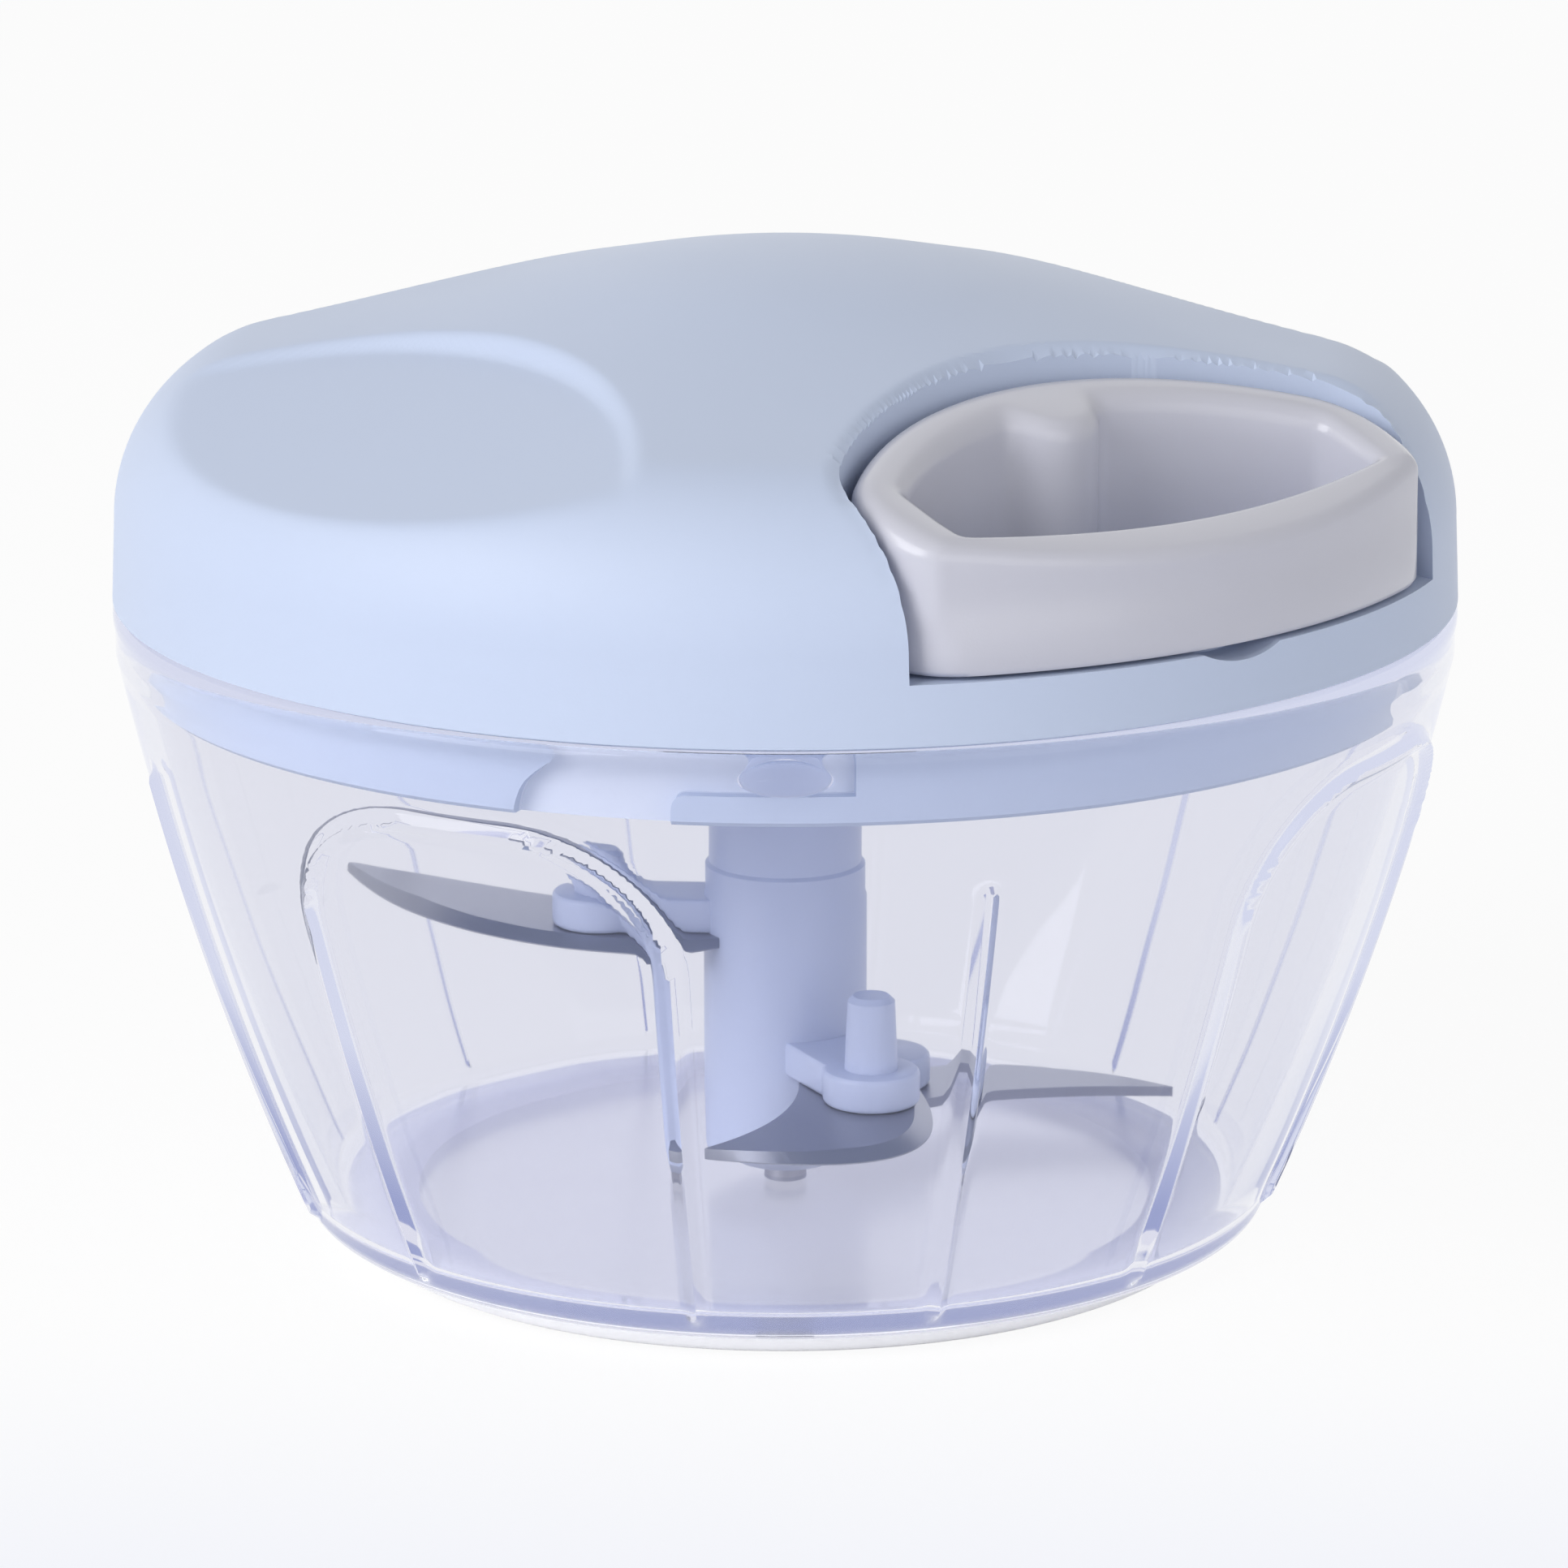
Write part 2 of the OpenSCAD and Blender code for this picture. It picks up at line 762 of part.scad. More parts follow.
// An arm over a blade at height z, with a peg on its round end
module arm(angle, z, peg_h) {
    rotate([0, 0, angle])
        translate([0, 0, z]) {
            linear_extrude(arm_t) {
                translate([0, -arm_w / 2])
                    square([arm_reach, arm_w]);
                translate([arm_reach, 0])
                    circle(r = arm_end_r);
            }
            if (peg_h > 0)
                translate([arm_reach, 0, arm_t])
                    cylinder(r1 = peg_r, r2 = peg_r - peg_draft, h = peg_h);
        }
}

module blade_column() {
    socket = hex_len + socket_room;
    color(column_blue)
        difference() {
            union() {
                translate([0, 0, column_z])
                    cylinder(r = column_r, h = collar_z - column_z);
                translate([0, 0, collar_z])
                    cylinder(r1 = column_r, r2 = neck_r, h = neck_z - collar_z);
                translate([0, 0, neck_z])
                    cylinder(r = neck_r, h = column_top - neck_z);
                arm(top_angle, top_z + blade_t, top_peg_h);
                arm(mid_angle, mid_z + blade_t, mid_peg_h);
                arm(low_angle, low_z + blade_t, 0);
            }
            translate([0, 0, column_z - over])
                cylinder(r = pin_r + run_clear, h = floor_z + pin_h + move_clear - column_z + over);
            translate([0, 0, hub_low_z - drive_flange_t - socket])
                hexagon(hex_af + 2 * slip_clear, socket + over);
        }
}

// Plan of a sickle blade: its edge bows out to the tip and its back returns to the column
function sickle_plan(reach, plan, share) =
    let (tip = reach * plan[0],
        edge = curve(column_r * [1, 1] + [root_out, root_side], reach * share * plan[1], tip, edge_steps),
        back = curve(tip, reach * plan[2], [column_r, -heel_side], back_steps))
    concat([[0, 0], column_r * root_plan], edge, [for (i = [1:back_steps]) back[i]]);

// A blade with a ground edge, thinner than its body
module sickle(angle, z, reach, plan) {
    edge_t = blade_t * edge_share;
    color(steel)
        rotate([0, 0, angle])
            difference() {
                translate([0, 0, z]) {
                    linear_extrude(edge_t)
                        polygon(sickle_plan(reach, plan, 1));
                    linear_extrude(blade_t)
                        polygon(sickle_plan(reach, plan, grind_share));
                }
                cylinder(r = column_r + press_clear, h = big);
            }
}

module upper_blade() {
    sickle(top_angle, top_z, top_blade_reach, top_plan);
}

module middle_blade() {
    sickle(mid_angle, mid_z, mid_blade_reach, mid_plan);
}

module lower_blade() {
    sickle(low_angle, low_z, low_blade_reach, low_plan);
}

bowl();
base_grip_ring();
pivot_pin();
top_cover();
lower_cover();
cover_screws();
hub_bush();
cord_reel();
mainspring();
spring_cap();
reel_washer();
reel_screw();
cord_winding();
cord_run();
cord_eyelet();
cord_lead();
cord_knot();
pull_handle();
drive_hub();
blade_column();
upper_blade();
middle_blade();
lower_blade();
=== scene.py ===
import math

import bmesh
import bpy
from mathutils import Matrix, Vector


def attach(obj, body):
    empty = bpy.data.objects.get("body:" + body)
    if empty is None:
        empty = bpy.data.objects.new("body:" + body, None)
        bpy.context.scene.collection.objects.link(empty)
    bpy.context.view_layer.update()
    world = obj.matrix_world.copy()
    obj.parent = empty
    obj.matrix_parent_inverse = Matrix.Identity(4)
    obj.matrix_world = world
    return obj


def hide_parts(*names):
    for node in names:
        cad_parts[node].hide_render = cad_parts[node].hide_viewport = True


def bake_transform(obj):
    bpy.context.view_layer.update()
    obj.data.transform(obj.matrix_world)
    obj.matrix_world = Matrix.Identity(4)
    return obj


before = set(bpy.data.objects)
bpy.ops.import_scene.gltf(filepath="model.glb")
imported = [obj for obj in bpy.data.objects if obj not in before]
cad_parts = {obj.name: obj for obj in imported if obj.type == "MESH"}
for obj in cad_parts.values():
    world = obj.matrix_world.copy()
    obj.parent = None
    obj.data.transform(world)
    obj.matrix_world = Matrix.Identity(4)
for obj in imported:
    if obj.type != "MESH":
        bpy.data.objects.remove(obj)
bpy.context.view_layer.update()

scene = bpy.context.scene
mm = 0.001
weldGap = 1e-7


# mesh helpers, all in millimetres

def addPiece(name, verts, faces, sharpAngle=40):
    mesh = bpy.data.meshes.new(name)
    mesh.from_pydata([tuple(c * mm for c in v) for v in verts], [], faces)
    work = bmesh.new()
    work.from_mesh(mesh)
    bmesh.ops.remove_doubles(work, verts=work.verts, dist=weldGap)
    bmesh.ops.recalc_face_normals(work, faces=work.faces)
    work.to_mesh(mesh)
    work.free()
    piece = bpy.data.objects.new(name, mesh)
    scene.collection.objects.link(piece)
    shadeSmooth(piece, sharpAngle)
    return piece


def shadeSmooth(piece, sharpAngle=40):
    piece.data.shade_smooth()
    piece.data.set_sharp_from_angle(angle=math.radians(sharpAngle))


def loft(rings, closed=False):
    # rings of equal length joined by quads; closed joins the last ring to the first
    count = len(rings[0])
    verts = [p for ring in rings for p in ring]
    faces = []
    last = len(rings) if closed else len(rings) - 1
    for i in range(last):
        a = i * count
        b = ((i + 1) % len(rings)) * count
        for j in range(count):
            k = (j + 1) % count
            faces.append((a + j, a + k, b + k, b + j))
    return verts, faces


def capEnds(verts, faces, count, rings):
    # fans over the first and the last ring
    for start in (0, (rings - 1) * count):
        ring = verts[start:start + count]
        middle = tuple(sum(p[i] for p in ring) / count for i in range(3))
        verts.append(middle)
        tip = len(verts) - 1
        faces.extend((start + j, start + (j + 1) % count, tip) for j in range(count))


def revolve(name, profile, steps=128, sharpAngle=40):
    # a closed section turned about Z
    turns = [2 * math.pi * j / steps for j in range(steps)]
    rings = [[(r * math.cos(a), r * math.sin(a), z) for a in turns] for r, z in profile]
    verts, faces = loft(rings, closed=True)
    return addPiece(name, verts, faces, sharpAngle)


def arc(cx, cy, r, a0, a1, n):
    return [(cx + r * math.cos(math.radians(a0 + (a1 - a0) * i / n)),
             cy + r * math.sin(math.radians(a0 + (a1 - a0) * i / n))) for i in range(n + 1)]


def bakeModifiers(piece):
    # the evaluated shape becomes the piece's own plain mesh
    graph = bpy.context.evaluated_depsgraph_get()
    mesh = bpy.data.meshes.new_from_object(piece.evaluated_get(graph))
    piece.modifiers.clear()
    piece.data = mesh
    return piece


def cut(piece, cutter, operation="DIFFERENCE"):
    step = piece.modifiers.new("cut", "BOOLEAN")
    step.operation = operation
    step.solver = "MANIFOLD"
    step.object = cutter
    bakeModifiers(piece)
    joinCorners(piece)
    bpy.data.objects.remove(cutter)
    return piece


def joinCorners(piece):
    # corners that a cut left on one spot become one, so that no face lies folded on itself
    work = bmesh.new()
    work.from_mesh(piece.data)
    bmesh.ops.triangulate(work, faces=[f for f in work.faces if len(f.verts) > 4])
    bmesh.ops.remove_doubles(work, verts=work.verts, dist=weldGap)
    work.to_mesh(piece.data)
    work.free()


def roundEdges(piece, width, segments=3, angle=35):
    step = piece.modifiers.new("round", "BEVEL")
    step.width = width * mm
    step.segments = segments
    step.limit_method = "ANGLE"
    step.angle_limit = math.radians(angle)
    return bakeModifiers(piece)


def smoothStep(a, b, x):
    t = min(1, max(0, (x - a) / (b - a)))
    return t * t * (3 - 2 * t)


def softMax(a, b, k):
    h = max(k - abs(a - b), 0) / k
    return max(a, b) + h * h * k / 4


# camera at the photograph's angle

camera = dict(distance=750, azimuth=50, elevation=14.398, targetZ=45, focalPx=9859.6, framePx=1932,
              principal=(967.56, 936.4), sensor=36, clip=(0.01, 50))


def makeCamera(c):
    data = bpy.data.cameras.new("camera")
    data.sensor_width = c["sensor"]
    data.lens = c["focalPx"] * c["sensor"] / c["framePx"]
    half = c["framePx"] / 2
    data.shift_x = (half - c["principal"][0]) / c["framePx"]
    data.shift_y = (c["principal"][1] - half) / c["framePx"]
    a = math.radians(c["azimuth"])
    e = math.radians(c["elevation"])
    back = Vector((math.sin(a) * math.cos(e), -math.cos(a) * math.cos(e), math.sin(e)))
    obj = bpy.data.objects.new("camera", data)
    obj.location = Vector((0, 0, c["targetZ"] * mm)) + back * c["distance"] * mm
    obj.rotation_mode = "QUATERNION"
    obj.rotation_quaternion = (-back).to_track_quat("-Z", "Y")
    data.clip_start, data.clip_end = c["clip"]
    scene.collection.objects.link(obj)
    scene.camera = obj


makeCamera(camera)
print("camera set")


# shader groups and materials

def addNode(tree, kind, settings=None, **values):
    # settings are input values by the socket's name or number
    node = tree.nodes.new(kind)
    for key, value in values.items():
        setattr(node, key, value)
    for key, value in (settings or {}).items():
        node.inputs[key].default_value = value
    return node


def spread(tree, source, span, ends=(0, 1), kind="SMOOTHSTEP"):
    # from one end to the other while source crosses a span given in millimetres
    node = addNode(tree, "ShaderNodeMapRange",
                   {"From Min": span[0] * mm, "From Max": span[1] * mm, "To Min": ends[0], "To Max": ends[1]},
                   interpolation_type=kind)
    tree.links.new(source, node.inputs["Value"])
    return node.outputs["Result"]


def blendTones(tree, share, toneA, toneB):
    # each tone is three numbers or a socket
    mix = addNode(tree, "ShaderNodeMix", data_type="RGBA")
    tree.links.new(share, mix.inputs[0])
    for socket, tone in ((mix.inputs[6], toneA), (mix.inputs[7], toneB)):
        if isinstance(tone, tuple):
            socket.default_value = (*tone, 1)
        else:
            tree.links.new(tone, socket)
    return mix.outputs[2]


def axisDistance(tree, where):
    # distance from the Z axis, in metres
    flat = addNode(tree, "ShaderNodeVectorMath", {1: (1, 1, 0)}, operation="MULTIPLY")
    reach = addNode(tree, "ShaderNodeVectorMath", operation="LENGTH")
    tree.links.new(where.outputs["Object"], flat.inputs[0])
    tree.links.new(flat.outputs["Vector"], reach.inputs[0])
    return reach.outputs["Value"]


def groupSockets(tree, ins, outs):
    for name, kind, value in ins:
        socket = tree.interface.new_socket(name=name, in_out="INPUT", socket_type=kind)
        socket.default_value = value
    for name, kind in outs:
        tree.interface.new_socket(name=name, in_out="OUTPUT", socket_type=kind)


mould = dict(cloudScale=30, cloudDetail=3, cloudSpan=(0.3, 0.7), grainScale=4000,
             grainStrength=0.04, grainDepth=0.2)


def makeMouldGrain(m):
    # moulded plastic: cloudy tone, fine pebble and a varying gloss
    tree = bpy.data.node_groups.new("mouldGrain", "ShaderNodeTree")
    grey = (0.5, 0.5, 0.5, 1)
    groupSockets(tree, [("Tone A", "NodeSocketColor", grey), ("Tone B", "NodeSocketColor", grey),
                        ("Gloss Low", "NodeSocketFloat", 0.3), ("Gloss High", "NodeSocketFloat", 0.4)],
                 [("Color", "NodeSocketColor"), ("Roughness", "NodeSocketFloat"),
                  ("Height", "NodeSocketFloat")])
    links = tree.links
    ins = addNode(tree, "NodeGroupInput")
    outs = addNode(tree, "NodeGroupOutput")
    where = addNode(tree, "ShaderNodeTexCoord")
    cloud = addNode(tree, "ShaderNodeTexNoise", {"Scale": m["cloudScale"], "Detail": m["cloudDetail"]})
    grain = addNode(tree, "ShaderNodeTexNoise", {"Scale": m["grainScale"]})
    for noise in (cloud, grain):
        links.new(where.outputs["Object"], noise.inputs["Vector"])
    low, high = m["cloudSpan"]
    gloss = addNode(tree, "ShaderNodeMapRange", {"From Min": low, "From Max": high})
    links.new(cloud.outputs["Fac"], gloss.inputs["Value"])
    links.new(ins.outputs["Gloss Low"], gloss.inputs["To Min"])
    links.new(ins.outputs["Gloss High"], gloss.inputs["To Max"])
    tone = blendTones(tree, cloud.outputs["Fac"], ins.outputs["Tone A"], ins.outputs["Tone B"])
    links.new(tone, outs.inputs["Color"])
    links.new(gloss.outputs["Result"], outs.inputs["Roughness"])
    links.new(grain.outputs["Fac"], outs.inputs["Height"])
    return tree


mouldGrain = makeMouldGrain(mould)


def newMaterial(name):
    material = bpy.data.materials.new(name)
    material.use_nodes = True
    return material, material.node_tree, material.node_tree.nodes["Principled BSDF"]


def addBump(tree, shader, height, strength, depth):
    lift = addNode(tree, "ShaderNodeBump", {"Strength": strength, "Distance": depth * mm})
    tree.links.new(height, lift.inputs["Height"])
    tree.links.new(lift.outputs["Normal"], shader.inputs["Normal"])


def plasticMaterial(name, toneA, toneB, gloss, specular=0.5):
    material, tree, shader = newMaterial(name)
    group = addNode(tree, "ShaderNodeGroup", node_tree=mouldGrain)
    group.inputs["Tone A"].default_value = (*toneA, 1)
    group.inputs["Tone B"].default_value = (*toneB, 1)
    group.inputs["Gloss Low"].default_value = gloss[0]
    group.inputs["Gloss High"].default_value = gloss[1]
    tree.links.new(group.outputs["Color"], shader.inputs["Base Color"])
    tree.links.new(group.outputs["Roughness"], shader.inputs["Roughness"])
    addBump(tree, shader, group.outputs["Height"], mould["grainStrength"], mould["grainDepth"])
    shader.inputs["Specular IOR Level"].default_value = specular
    return material


scratches = dict(detail=4, dark=0.88, strength=0.05, depth=0.1)


def steelMaterial(name, tone, gloss, stretch):
    # ground steel: fine scratches along one direction change tone and gloss
    material, tree, shader = newMaterial(name)
    links = tree.links
    where = addNode(tree, "ShaderNodeTexCoord")
    turn = addNode(tree, "ShaderNodeMapping", {"Scale": stretch})
    lines = addNode(tree, "ShaderNodeTexNoise", {"Scale": 1, "Detail": scratches["detail"]})
    shade = addNode(tree, "ShaderNodeValToRGB")
    shade.color_ramp.elements[0].color = (*(c * scratches["dark"] for c in tone), 1)
    shade.color_ramp.elements[1].color = (*tone, 1)
    rough = addNode(tree, "ShaderNodeMapRange", {"To Min": gloss[0], "To Max": gloss[1]})
    links.new(where.outputs["Object"], turn.inputs["Vector"])
    links.new(turn.outputs["Vector"], lines.inputs["Vector"])
    links.new(lines.outputs["Fac"], shade.inputs["Fac"])
    links.new(lines.outputs["Fac"], rough.inputs["Value"])
    links.new(shade.outputs["Color"], shader.inputs["Base Color"])
    links.new(rough.outputs["Result"], shader.inputs["Roughness"])
    addBump(tree, shader, lines.outputs["Fac"], scratches["strength"], scratches["depth"])
    shader.inputs["Metallic"].default_value = 1
    return material


clearLook = dict(floorZ=(8, 6), floorR=(39.5, 36), gloss=(0.03, 0.22),
                 ripple=45, rippleDetail=1, rippleStrength=0.06, rippleDepth=2,
                 glossyWeight=2, caughtFrom=7.5, footZ=(4.7, 4.1), paintedGlowZ=(6, 24), rimZ=(50, 57))


def clearMaterial(name, tint, floorShadeTint, paintedGlowFoot, paintedGlowLow, paintedGlowHigh, bend=1.3, rimShade=0.62):
    # clear moulded plastic with a faint flow ripple; its floor is painted a deeper tone for the shade under
    # the bowl, and is a little milky
    look = clearLook
    material, tree, shader = newMaterial(name)
    links = tree.links
    where = addNode(tree, "ShaderNodeTexCoord")
    split = addNode(tree, "ShaderNodeSeparateXYZ")
    links.new(where.outputs["Object"], split.inputs["Vector"])
    z = split.outputs["Z"]
    low = addNode(tree, "ShaderNodeMath", operation="MULTIPLY")
    links.new(spread(tree, z, look["floorZ"]), low.inputs[0])
    links.new(spread(tree, axisDistance(tree, where), look["floorR"]), low.inputs[1])
    rough = addNode(tree, "ShaderNodeMapRange", {"To Min": look["gloss"][0], "To Max": look["gloss"][1]})
    links.new(low.outputs["Value"], rough.inputs["Value"])
    links.new(rough.outputs["Result"], shader.inputs["Roughness"])
    links.new(blendTones(tree, low.outputs["Value"], tint, floorShadeTint), shader.inputs["Base Color"])
    flow = addNode(tree, "ShaderNodeTexNoise", {"Scale": look["ripple"], "Detail": look["rippleDetail"]})
    links.new(where.outputs["Object"], flow.inputs["Vector"])
    addBump(tree, shader, flow.outputs["Fac"], look["rippleStrength"], look["rippleDepth"])
    shader.inputs["IOR"].default_value = bend
    shader.inputs["Transmission Weight"].default_value = 1

    # rays trapped deep in the wall end in a painted glow of a set tone, paler at the foot and higher up,
    # standing in for the light they would still bring
    path = addNode(tree, "ShaderNodeLightPath")
    turns = addNode(tree, "ShaderNodeMath", {1: look["glossyWeight"]}, operation="MULTIPLY_ADD")
    deep = addNode(tree, "ShaderNodeMath", {1: look["caughtFrom"]}, operation="GREATER_THAN")
    links.new(path.outputs["Glossy Depth"], turns.inputs[0])
    links.new(path.outputs["Ray Depth"], turns.inputs[2])
    links.new(turns.outputs["Value"], deep.inputs[0])
    edge = blendTones(tree, spread(tree, z, look["paintedGlowZ"], kind="LINEAR"), paintedGlowLow, paintedGlowHigh)
    paintedGlow = addNode(tree, "ShaderNodeEmission")
    links.new(blendTones(tree, spread(tree, z, look["footZ"]), edge, paintedGlowFoot), paintedGlow.inputs["Color"])

    # lamplight passes to what stands behind, dimmed at the rim
    through = addNode(tree, "ShaderNodeBsdfTransparent")
    links.new(spread(tree, z, look["rimZ"], (1, rimShade)), through.inputs["Color"])
    inner = addNode(tree, "ShaderNodeMixShader")
    outer = addNode(tree, "ShaderNodeMixShader")
    links.new(deep.outputs["Value"], inner.inputs["Fac"])
    links.new(shader.outputs["BSDF"], inner.inputs[1])
    links.new(paintedGlow.outputs["Emission"], inner.inputs[2])
    links.new(path.outputs["Is Shadow Ray"], outer.inputs["Fac"])
    links.new(inner.outputs["Shader"], outer.inputs[1])
    links.new(through.outputs["BSDF"], outer.inputs[2])
    links.new(outer.outputs["Shader"], tree.nodes["Material Output"].inputs["Surface"])
    return material


braid = dict(scale=900, wander=1.5, dark=(0.62, 0.62, 0.62), light=(0.86, 0.86, 0.85),
             strength=0.5, depth=0.3, rough=0.8)


def cordMaterial(name, b):
    # braided cord: crossed diagonal bands
    material, tree, shader = newMaterial(name)
    where = addNode(tree, "ShaderNodeTexCoord")
    weave = addNode(tree, "ShaderNodeTexWave", {"Scale": b["scale"], "Distortion": b["wander"]},
                    wave_type="BANDS", bands_direction="DIAGONAL")
    shade = addNode(tree, "ShaderNodeValToRGB")
    shade.color_ramp.elements[0].color = (*b["dark"], 1)
    shade.color_ramp.elements[1].color = (*b["light"], 1)
    tree.links.new(where.outputs["Object"], weave.inputs["Vector"])
    tree.links.new(weave.outputs["Color"], shade.inputs["Fac"])
    tree.links.new(shade.outputs["Color"], shader.inputs["Base Color"])
    addBump(tree, shader, weave.outputs["Fac"], b["strength"], b["depth"])
    shader.inputs["Roughness"].default_value = b["rough"]
    return material


finish = dict(
    lid=plasticMaterial("powderBlueLid", (0.575, 0.655, 0.835), (0.600, 0.678, 0.850), (0.40, 0.48), 0.22),
    # the skirt takes the lid's plastic in a tone of its own, painted to the light it gets under the lid and
    # through the bowl
    skirt=plasticMaterial("powderBlueSkirtLitTone", (0.59, 0.665, 0.815), (0.615, 0.688, 0.83), (0.40, 0.48), 0.22),
    handle=plasticMaterial("greyHandle", (0.605, 0.608, 0.690), (0.635, 0.638, 0.715), (0.18, 0.26)),
    column=plasticMaterial("blueGreyColumn", (0.49, 0.54, 0.70), (0.52, 0.57, 0.73), (0.30, 0.40)),
    inner=plasticMaterial("innerIvory", (0.72, 0.71, 0.66), (0.78, 0.77, 0.72), (0.4, 0.5)),
    grip=plasticMaterial("softWhiteGrip", (0.92, 0.92, 0.95), (0.95, 0.95, 0.97), (0.55, 0.7)),
    blade=steelMaterial("groundBlade", (0.385, 0.40, 0.465), (0.30, 0.42), (300, 3000, 300)),
    steel=steelMaterial("plainSteel", (0.55, 0.55, 0.57), (0.25, 0.4), (2000, 2000, 200)),
    # the bowl's floor tone is painted shade from under the bowl
    bowl=clearMaterial("clearBowl", tint=(0.87, 0.875, 0.925), floorShadeTint=(0.74, 0.75, 0.85),
                       # the tones from here on are a painted glow for rays trapped in the wall
                       paintedGlowFoot=(0.76, 0.765, 0.87), paintedGlowLow=(0.34, 0.38, 0.63), paintedGlowHigh=(0.70, 0.73, 0.88)),
    lug=clearMaterial("clearLug", tint=(0.97, 0.975, 0.99), floorShadeTint=(0.97, 0.975, 0.99),
                      # the lug's last three tones are the same painted glow
                      paintedGlowFoot=(0.70, 0.73, 0.88), paintedGlowLow=(0.70, 0.73, 0.88), paintedGlowHigh=(0.70, 0.73, 0.88),
                      bend=1.2, rimShade=1),
    cord=cordMaterial("whiteBraid", braid),
)


def paint(piece, material):
    piece.data.materials.clear()
    piece.data.materials.append(material)


def place(piece, body, slotName, material, *nodes):
    paint(piece, material)
    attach(piece, body)
    if nodes:
        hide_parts(*nodes)
    return piece


print("materials ready")


# the lid's dome with its soft-edged scoops and the handle's recess

lid = dict(bottomZ=61.9, height=31.7, slope=12.7, crownEnd=20, radius=62.5, lean=0.3, shoulder=15.5, wall=2,
           crownSteps=12, shoulderSteps=28, wallSteps=6, outerSteps=(480, 72), innerSteps=(128, 24),
           scoops=4, scoopOff=75.5, scoopArc=44.5, fall=0.33, step=1.7, soft=0.9, blend=0.8,
           recessHalf=31.3, recessFloor=5.4, recessCorner=3, lip=1.0, lipDrop=0.6,
           notchWide=9, notchDeep=1, notchX=(58, 70), notchSteps=96)
recessCut = dict(centre=(52, 0), far=100, reach=80, steps=360, topZ=130)


def domeFacts(d):
    slope = math.radians(d["slope"])
    top = d["bottomZ"] + d["height"]
    crown = d["crownEnd"] / math.sin(slope)
    crownZ = top - crown * (1 - math.cos(slope))
    x = d["radius"] - d["lean"] - d["shoulder"]
    start = x + d["shoulder"] * math.sin(slope)
    z = crownZ - (start - d["crownEnd"]) * math.tan(slope) - d["shoulder"] * math.cos(slope)
    near = d["scoopOff"] - d["scoopArc"]
    scoopZ = crownZ - (near - d["crownEnd"]) * math.tan(slope) - d["step"] + d["fall"] * near
    return dict(slope=slope, top=top, crown=crown, x=x, z=z, scoopZ=scoopZ)


dome = domeFacts(lid)


def lineTo(p, q, n):
    # n points from p to q, without p itself
    return [(p[0] + (q[0] - p[0]) * i / n, p[1] + (q[1] - p[1]) * i / n) for i in range(1, n + 1)]


def domeProfile(grow, fine):
    # section from the axis to the lower edge, moved inwards by grow
    slope = dome["slope"]
    r = dome["crown"] - grow
    n = lid["crownSteps"]
    points = [(r * math.sin(slope * i / n), dome["top"] - dome["crown"] + r * math.cos(slope * i / n))
              for i in range(1, n + 1)]
    s = lid["shoulder"] - grow
    start = (dome["x"] + s * math.sin(slope), dome["z"] + s * math.cos(slope))
    points += lineTo(points[-1], start, fine)[:-1]
    n = lid["shoulderSteps"]
    points += [(dome["x"] + s * math.sin(a), dome["z"] + s * math.cos(a))
               for a in (slope + (math.pi / 2 - slope) * i / n for i in range(n + 1))]
    return points + lineTo(points[-1], (lid["radius"] - grow, lid["bottomZ"]), lid["wallSteps"])


def recessDistance(x, y):
    # distance outside the recess's outline, negative inside
    toArc = math.hypot(x - lid["scoopOff"], y) - lid["scoopArc"]
    return softMax(toArc, abs(y) - lid["recessHalf"], lid["recessCorner"])


def scooped(x, y, z, grow):
    best = z
    for i in range(lid["scoops"]):
        a = 2 * math.pi * i / lid["scoops"]
        u = x * math.cos(a) + y * math.sin(a)
        v = y * math.cos(a) - x * math.sin(a)
        if u < lid["crownEnd"]:
            continue
        inside = lid["scoopArc"] + grow - math.hypot(u - lid["scoopOff"], v)
        flat = dome["scoopZ"] - grow - lid["fall"] * u
        lower = -softMax(-z, -flat, lid["blend"])
        share = smoothStep(-lid["soft"], lid["soft"], inside)
        best = min(best, z + share * (lower - z))
    return best


def lidSolid(name, grow, steps, fine):
    turns = [2 * math.pi * j / steps for j in range(steps)]
    rings = []
    for r, z in domeProfile(grow, fine):
        ring = []
        for a in turns:
            x = r * math.cos(a)
            y = r * math.sin(a)
            h = scooped(x, y, z, grow)
            if grow == 0 and x > lid["crownEnd"]:
                gap = recessDistance(x, y)
                if 0 <= gap < lid["lip"] and z > lid["bottomZ"] + lid["recessFloor"]:
                    t = 1 - gap / lid["lip"]
                    h -= lid["lip"] * lid["lipDrop"] * (1 - math.sqrt(1 - t * t))
            ring.append((x, y, h))
        rings.append(ring)
    if grow:
        rings.append([(x, y, lid["bottomZ"] - grow) for x, y, z in rings[-1]])
    verts, faces = loft(rings)
    capEnds(verts, faces, steps, len(rings))
    return addPiece(name, verts, faces, 50)


def outlineByRays(centre, distance, reach, steps, halvings=40):
    # points where rays from centre leave the region in which distance is negative
    points = []
    for j in range(steps):
        a = 2 * math.pi * j / steps
        low = 0
        high = reach
        for _ in range(halvings):
            mid = (low + high) / 2
            if distance(centre[0] + mid * math.cos(a), centre[1] + mid * math.sin(a)) < 0:
                low = mid
            else:
                high = mid
        points.append((centre[0] + low * math.cos(a), centre[1] + low * math.sin(a)))
    return points


def prism(name, outline, z0, z1):
    rings = [[(x, y, z) for x, y in outline] for z in (z0, z1)]
    verts, faces = loft(rings)
    capEnds(verts, faces, len(outline), 2)
    return addPiece(name, verts, faces)


def recessCutter(grow):
    c = recessCut

    def region(x, y):
        return max(recessDistance(x, y) - grow, x - c["far"])

    z = lid["bottomZ"] + lid["recessFloor"] - grow
    return prism("recessCutter", outlineByRays(c["centre"], region, c["reach"], c["steps"]), z, c["topZ"])


